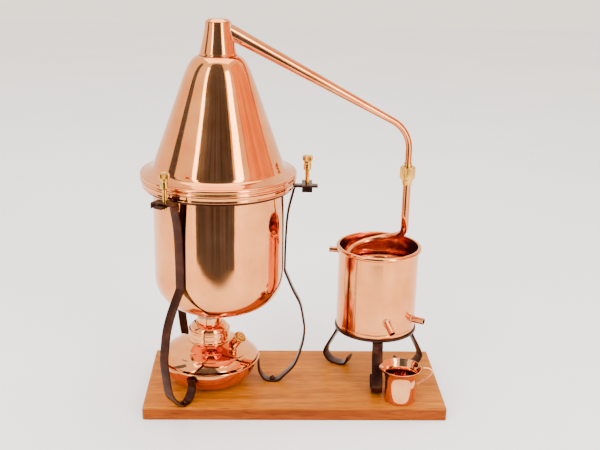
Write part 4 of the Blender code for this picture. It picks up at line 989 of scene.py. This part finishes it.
def foot_screw(spot, azimuth):
    """Round head with a slot: the height is cut down where the point lies within the slot's width."""
    seat = FOOT_MIDDLE + STRIP_THICK / 2 + GAP
    dome = arc((0, 0), 1.0, 0, 90, 14) * (0.0034, 0.0036) + (0, seat)
    shank = [(0, BOARD_TOP - 0.0090), (0.0018, BOARD_TOP - 0.0065), (0.0018, seat)]
    outline = eased(np.vstack((shank, dome)), 0.0001)
    points = turned(outline, (0, 0), 96)
    across = np.abs(points[..., 0] * math.sin(azimuth) - points[..., 1] * math.cos(azimuth))
    floor = seat + 0.0022
    slot = (across < 0.00045) & (points[..., 2] > floor)
    points[..., 2] = np.where(slot, floor, points[..., 2])
    points[..., :2] += spot
    return points, grid_faces(len(outline), 96, False)


for side, azimuth in SIDES.items():
    spot = BOILER + SCREW_CIRCLE * heading(azimuth)[:2]
    add_strip("bent_claw_" + side, claw_line(), CLAW_WIDTH, CLAW_THICK, spot, azimuth + math.pi / 2, steel,
              "claw_" + side, "iron", ["clamp_claw_" + side])
    add_piece("knurled_screw_" + side, *thumbscrew(spot), brass, "thumbscrew_" + side, "brass",
              ["thumbscrew_" + side])
    spot = BOILER + (LEG_FOOT + LEG_STRAY[side]) * heading(azimuth)[:2]
    add_piece("slotted_screw_" + side, *foot_screw(spot, azimuth + 0.6), steel, "stand", "iron",
              ["foot_screw_" + side])
print("clamps made")

# %% [markdown]
# The spirit burner is a spun bowl with a rolled rim, a rounded top with two faint steps, and a collar that
# holds the wick's tube.  The top's curve is a superellipse too, with an exponent of 1.5, so it is nearly
# conical at the rim.

# %% Burner
BURNER_FOOT, BURNER_RISE, BURNER_ROLL = BOARD_TOP + GAP, 0.0285, 0.0013
LIFT = BURNER_LIP + GAP + 0.00052
TUBE_RADIUS = 0.0147
DOME_CLEAR = TUBE_RADIUS + GAP


def top_height(radius):
    """The rise times (1 - (radius / rim)^1.5)^(1/1.5)."""
    return BURNER_RISE * (1 - (radius / BURNER_RIM) ** 1.5) ** (1 / 1.5)


def bowl_outline():
    """Base, bowl, rolled rim and the inside."""
    heights = np.linspace(BURNER_FOOT, BURNER_LIP - BURNER_ROLL, 24)
    outside = np.stack((bowl_radius(heights), heights), axis=-1)
    heights = np.linspace(BURNER_FOOT + SHEET, BURNER_LIP - BURNER_ROLL, 16)[::-1]
    inside = np.stack((bowl_radius(heights) - SHEET, heights), axis=-1)
    rim = arc((BURNER_RIM - BURNER_ROLL, BURNER_LIP), BURNER_ROLL, -60, 150, 12)
    return np.vstack(([(0, BURNER_FOOT)], outside, rim, inside, [(0, BURNER_FOOT + SHEET)]))


def top_outline():
    """The rounded top with two steps of 0.35 mm at 40 and 50 mm radius, and the underside 1 mm lower."""
    radius = np.linspace(BURNER_RIM - 0.0020, DOME_CLEAR, 56)
    step = sum(0.00035 / (1 + np.exp((radius - edge) / 0.0002)) for edge in (0.040, 0.050))
    top = np.stack((radius, LIFT + top_height(radius) + step - 0.0007), axis=-1)
    radius = radius[1:]
    under = np.stack(((radius - 0.0005).clip(DOME_CLEAR), LIFT + top_height(radius) - 0.0017), axis=-1)
    return np.vstack((top, under[::-1]))


add_turned("spun_bowl", bowl_outline(), BURNER, burner_copper, "burner", "copper", ["burner_bowl"],
           ease=0.0002)
add_turned("spun_top", top_outline(), BURNER, burner_copper, "burner", "copper", ["burner_top"],
           ease=0.0001)
COLLAR_FLANGE, COLLAR_RADIUS = 0.0270, 0.0252
COLLAR_FOOT = LIFT + float(top_height(COLLAR_FLANGE)) + GAP
COLLAR_TOP = COLLAR_FOOT + 0.0135


def collar_outline():
    """Flange, cylinder with two turned grooves, domed shoulder, and the bore."""
    dome = arc((0, 0), 1.0, 0, 90, 12) * (0.0232 - DOME_CLEAR, 0.0075) + (DOME_CLEAR, COLLAR_TOP)
    inner = np.linspace(DOME_CLEAR, COLLAR_FLANGE, 8)[:-1]
    under = np.stack((inner, LIFT + top_height(inner) + GAP), axis=-1)
    flange = [(COLLAR_FLANGE, COLLAR_FOOT), (COLLAR_FLANGE, COLLAR_FOOT + SHEET)]
    wall = [(COLLAR_RADIUS, COLLAR_FOOT + 0.0020)]
    for groove in (COLLAR_FOOT + 0.0046, COLLAR_TOP - 0.0026):
        wall += [(COLLAR_RADIUS, groove - 0.0004), (COLLAR_RADIUS - 0.0004, groove),
                 (COLLAR_RADIUS, groove + 0.0004)]
    return np.vstack((flange, wall, [(COLLAR_RADIUS, COLLAR_TOP)], dome, under))


add_turned("spun_collar", collar_outline(), BURNER, burner_copper, "burner", "copper", ["burner_collar"],
           ease=0.0003)
TUBE_FOOT, TUBE_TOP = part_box("wick_tube")[0].z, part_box("wick_tube")[1].z
add_turned("wick_sleeve", [(TUBE_RADIUS, TUBE_FOOT), (TUBE_RADIUS, TUBE_TOP),
                           (TUBE_RADIUS - SHEET, TUBE_TOP), (TUBE_RADIUS - SHEET, TUBE_FOOT)],
           BURNER, burner_copper, "burner", "copper", ["wick_tube"])
WICK_RADIUS, WICK_FOOT, WICK_TOP = TUBE_RADIUS - 0.0013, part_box("wick")[0].z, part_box("wick")[1].z
add_turned("plaited_wick", [(0, WICK_FOOT), (WICK_RADIUS, WICK_FOOT), (WICK_RADIUS, WICK_TOP - 0.0018),
                            (WICK_RADIUS - 0.0030, WICK_TOP), (0, WICK_TOP - 0.0002)],
           BURNER, cotton, "burner", "cotton", ["wick"], ease=0.0012, steps=96)
print("burner collar from", round(COLLAR_FOOT, 4), "to", round(COLLAR_TOP, 4))

# %% [markdown]
# The filler leans out of the top.  Its brass cap has a milled edge and a dimple from turning.  The cap is
# worked out upright at the origin and then turned with a matrix, as arrays, so the object itself stays put.

# %% Filler cap
FILLER_TURN, FILLER_RISE = math.radians(-42), math.radians(50)
FILLER_OUT = heading(FILLER_TURN, FILLER_RISE)
FILLER_SPOT = np.array((BURNER[0] + 0.0390, BURNER[1] - 0.0225, BURNER_LIP + 0.0352))


def filler_cap():
    """Disc with 36 flutes: radius times 1 - 0.02 (1 - cos(36 turn)) where the edge is upright."""
    outline = eased([(0, -0.0024), (0.0075, -0.0024), (0.0075, -0.0006), (0.0068, 0), (0.0016, 0),
                     (0, -0.0009)], 0.0003)
    points = turned(outline, (0, 0), SCREW_STEPS)
    turn = np.linspace(0, 2 * math.pi, SCREW_STEPS, endpoint=False)
    edge = (outline[:, 0] > 0.0070)[:, None]
    points[..., :2] *= (1 - 0.02 * edge * (1 - np.cos(36 * turn)))[..., None]
    across = np.cross(FILLER_OUT, UP)
    across /= np.linalg.norm(across)
    side = np.cross(across, FILLER_OUT)
    faces = grid_faces(len(outline), SCREW_STEPS, False)
    return points @ np.array((across, side, FILLER_OUT)) + FILLER_SPOT, faces


add_piece("milled_filler_cap", *filler_cap(), brass, "filler_cap", "brass", ["filler_cap"])
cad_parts["filler_neck"].data.materials[0] = burner_copper
print("filler cap at", FILLER_SPOT.round(4))

# %% [markdown]
# The cup is spun with a flared mouth.  Its pouring lip is pulled out by hand after spinning, which moves the
# points near the lip sideways by a smooth bump.

# %% Cup
CUP_FOOT, CUP_RADIUS, CUP_WALL = BOARD_TOP + GAP, 0.0182, 0.0009
CUP_FLARE, CUP_TOP = 0.0175, CUP_FOOT + 0.0422
CUP_LIP, CUP_STEPS, HANDLE_WIRE = 0.0024, 120, 0.00125


def cup_surface():
    """Turned outline, then x moved by minus the lip times rise^2 times a smooth step towards the lip."""
    flare = bezier((CUP_RADIUS, CUP_TOP - CUP_FLARE), (CUP_RADIUS, CUP_TOP - 0.4 * CUP_FLARE),
                   (CUP_RIM - 0.0030, CUP_TOP - 0.3 * CUP_FLARE), (CUP_RIM, CUP_TOP), 24)
    inside = flare[::-1] + (-CUP_WALL, 0.0002)
    outline = np.vstack(([(0, CUP_FOOT), (CUP_RADIUS, CUP_FOOT)], flare, inside,
                         [(CUP_RADIUS - CUP_WALL, CUP_FOOT + CUP_WALL), (0, CUP_FOOT + CUP_WALL)]))
    outline = eased(outline, 0.0003)
    points = turned(outline, (0, 0), CUP_STEPS)
    off = math.pi - np.abs(np.arctan2(points[..., 1], points[..., 0]))
    near = (1 - off / math.radians(34)).clip(0)
    rise = ((points[..., 2] - CUP_TOP + CUP_FLARE) / CUP_FLARE).clip(0)
    points[..., 0] -= CUP_LIP * rise ** 2 * near ** 2 * (3 - 2 * near)
    points[..., :2] += CUP
    return points, grid_faces(len(outline), CUP_STEPS, False)


def handle_line():
    """Spline from under the rim, out, and back to the wall."""
    clear = HANDLE_WIRE + GAP
    line = spline([(CUP_RIM + clear + 0.0002, CUP_TOP - 0.0012), (CUP_RIM + 0.0085, CUP_TOP - 0.0018),
                   (CUP_RIM + 0.0130, CUP_TOP - 0.0053), (CUP_RIM + 0.00936, CUP_TOP - 0.0115),
                   (CUP_RIM + 0.0034, CUP_TOP - 0.0172), (CUP_RADIUS + clear + 0.0004, CUP_TOP - 0.0227)], 8)
    return np.stack((CUP[0] + line[:, 0], np.full(len(line), CUP[1]), line[:, 1]), axis=-1)


add_piece("spun_cup", *cup_surface(), cup_copper, "cup", "copper", ["cup_body"])
handle = handle_line()
add_rod("cup_wire_handle", handle, np.full(len(handle), HANDLE_WIRE), cup_copper, "cup", "copper",
        ["cup_handle"])
print("cup is", round(CUP_TOP - CUP_FOOT, 4), "m high")

# %% [markdown]
# The board keeps its own solid, which already has its bevels, and takes the stained finish.

# %% Board
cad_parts["base_board"].data.materials[0] = wood
print("board top at", round(BOARD_TOP, 4))

# %% [markdown]
# Polished metal shows what stands round it.  Large soft lamps give the pale areas, and dark cards give the
# brown bands down the middle of the pot and the helm.  The cards are seen only in reflections.

# %% Floor, cards and lamps
def plain_finish(name, codes, roughness, stretch=(3, 3, 3)):
    """A matt finish whose colour drifts between two tones along a stretched noise."""
    finish, tree, shader, place = new_finish(name, Roughness=roughness)
    drawn = add_node(tree, "ShaderNodeMapping", {"Vector": place, "Scale": stretch})
    mottle = add_noise(tree, drawn.outputs[0], 1.0, 3.0)
    connect(tree, shader, blend_colours(tree, mottle.outputs["Fac"], codes, (0.35, 0.65)))
    return finish


def add_sheet(name, corners, finish, seen=True):
    """A flat sheet from four corners; it belongs to the studio."""
    mesh = bpy.data.meshes.new(name)
    mesh.from_pydata(corners, [], [(0, 1, 2, 3)])
    mesh.materials.append(finish)
    sheet = bpy.data.objects.new(name, mesh)
    bpy.context.scene.collection.objects.link(sheet)
    sheet.visible_camera = seen
    return sheet


def add_card(name, left, right, height, finish):
    """An upright sheet between two floor points, seen only in reflections, which casts no shadow."""
    low, high = height
    card = add_sheet(name, [(*left, low), (*right, low), (*right, high), (*left, high)], finish, seen=False)
    card.visible_shadow = card.visible_diffuse = False


def add_lamp(name, place, aim, size, power, colour="#FFFFFF"):
    """A rectangular soft lamp that points from its place to its aim."""
    lamp = bpy.data.lights.new(name, "AREA")
    lamp.shape, lamp.size, lamp.size_y, lamp.energy = "RECTANGLE", size[0], size[1], power
    lamp.color = linear(colour)[:3]
    stand = bpy.data.objects.new(name, lamp)
    stand.location = place
    stand.rotation_euler = (Vector(aim) - Vector(place)).to_track_quat("-Z", "Y").to_euler()
    bpy.context.scene.collection.objects.link(stand)
    return stand


pale = plain_finish("pale_floor", ("#F2F4F7", "#F7F8FA"), 0.6)
dark = plain_finish("dark_card", ("#2A3346", "#4C597A"), 0.9, (40, 40, 3))
warm = plain_finish("warm_card", ("#C07A3C", "#DC9A5C"), 0.9, (9, 9, 2))
add_sheet("floor", [(-4, -4, 0), (4, -4, 0), (4, 4, 0), (-4, 4, 0)], pale)
add_card("card_front", (-0.44, -0.50), (0.17, -0.50), (0, 1.7), dark)
add_card("card_left", (-1.2, -0.25), (-1.2, 0.05), (0, 1.7), dark)
add_card("card_right", (1.2, 0.5), (1.0, -0.7), (0, 1.7), warm)
add_lamp("lamp_left", (-1.0, -1.3, 1.0), (0, 0, 0.2), (0.5, 1.8), 30)
add_lamp("lamp_right", (0.9, -1.2, 0.8), (0, 0, 0.2), (0.35, 1.6), 22)
add_lamp("lamp_top", (0, 0.3, 2.2), (0, 0, 0.1), (2.0, 1.6), 40)
world = bpy.data.worlds.new("white_room")
world.use_nodes = True
world.node_tree.nodes["Background"].inputs["Color"].default_value = linear("#FFF3E4")
world.node_tree.nodes["Background"].inputs["Strength"].default_value = 2.0
bpy.context.scene.world = world
print("studio ready")

# %% [markdown]
# The camera looks slightly down from the front, as for a catalogue picture.

# %% Camera
def add_camera(place, down, turn, roll, lens):
    """Camera from its place, its tilt down, its turn to the right and its roll, all in degrees."""
    down, turn, roll = (math.radians(v) for v in (down, turn, roll))
    ahead = Vector((math.sin(turn) * math.cos(down), math.cos(turn) * math.cos(down), -math.sin(down)))
    right = Vector((math.cos(turn), -math.sin(turn), 0))
    up = right.cross(ahead)
    right, up = (math.cos(roll) * right + math.sin(roll) * up, math.cos(roll) * up - math.sin(roll) * right)
    camera = bpy.data.cameras.new("camera")
    camera.sensor_width, camera.lens = 36.0, lens
    holder = bpy.data.objects.new("camera", camera)
    holder.matrix_world = Matrix.Translation(place) @ Matrix((right, up, -ahead)).transposed().to_4x4()
    bpy.context.scene.collection.objects.link(holder)
    bpy.context.scene.camera = holder
    return holder


add_camera((-0.0365, -1.0713, 0.5710), 18.268, 2.144, 1.262, 56.97)
print("camera set")
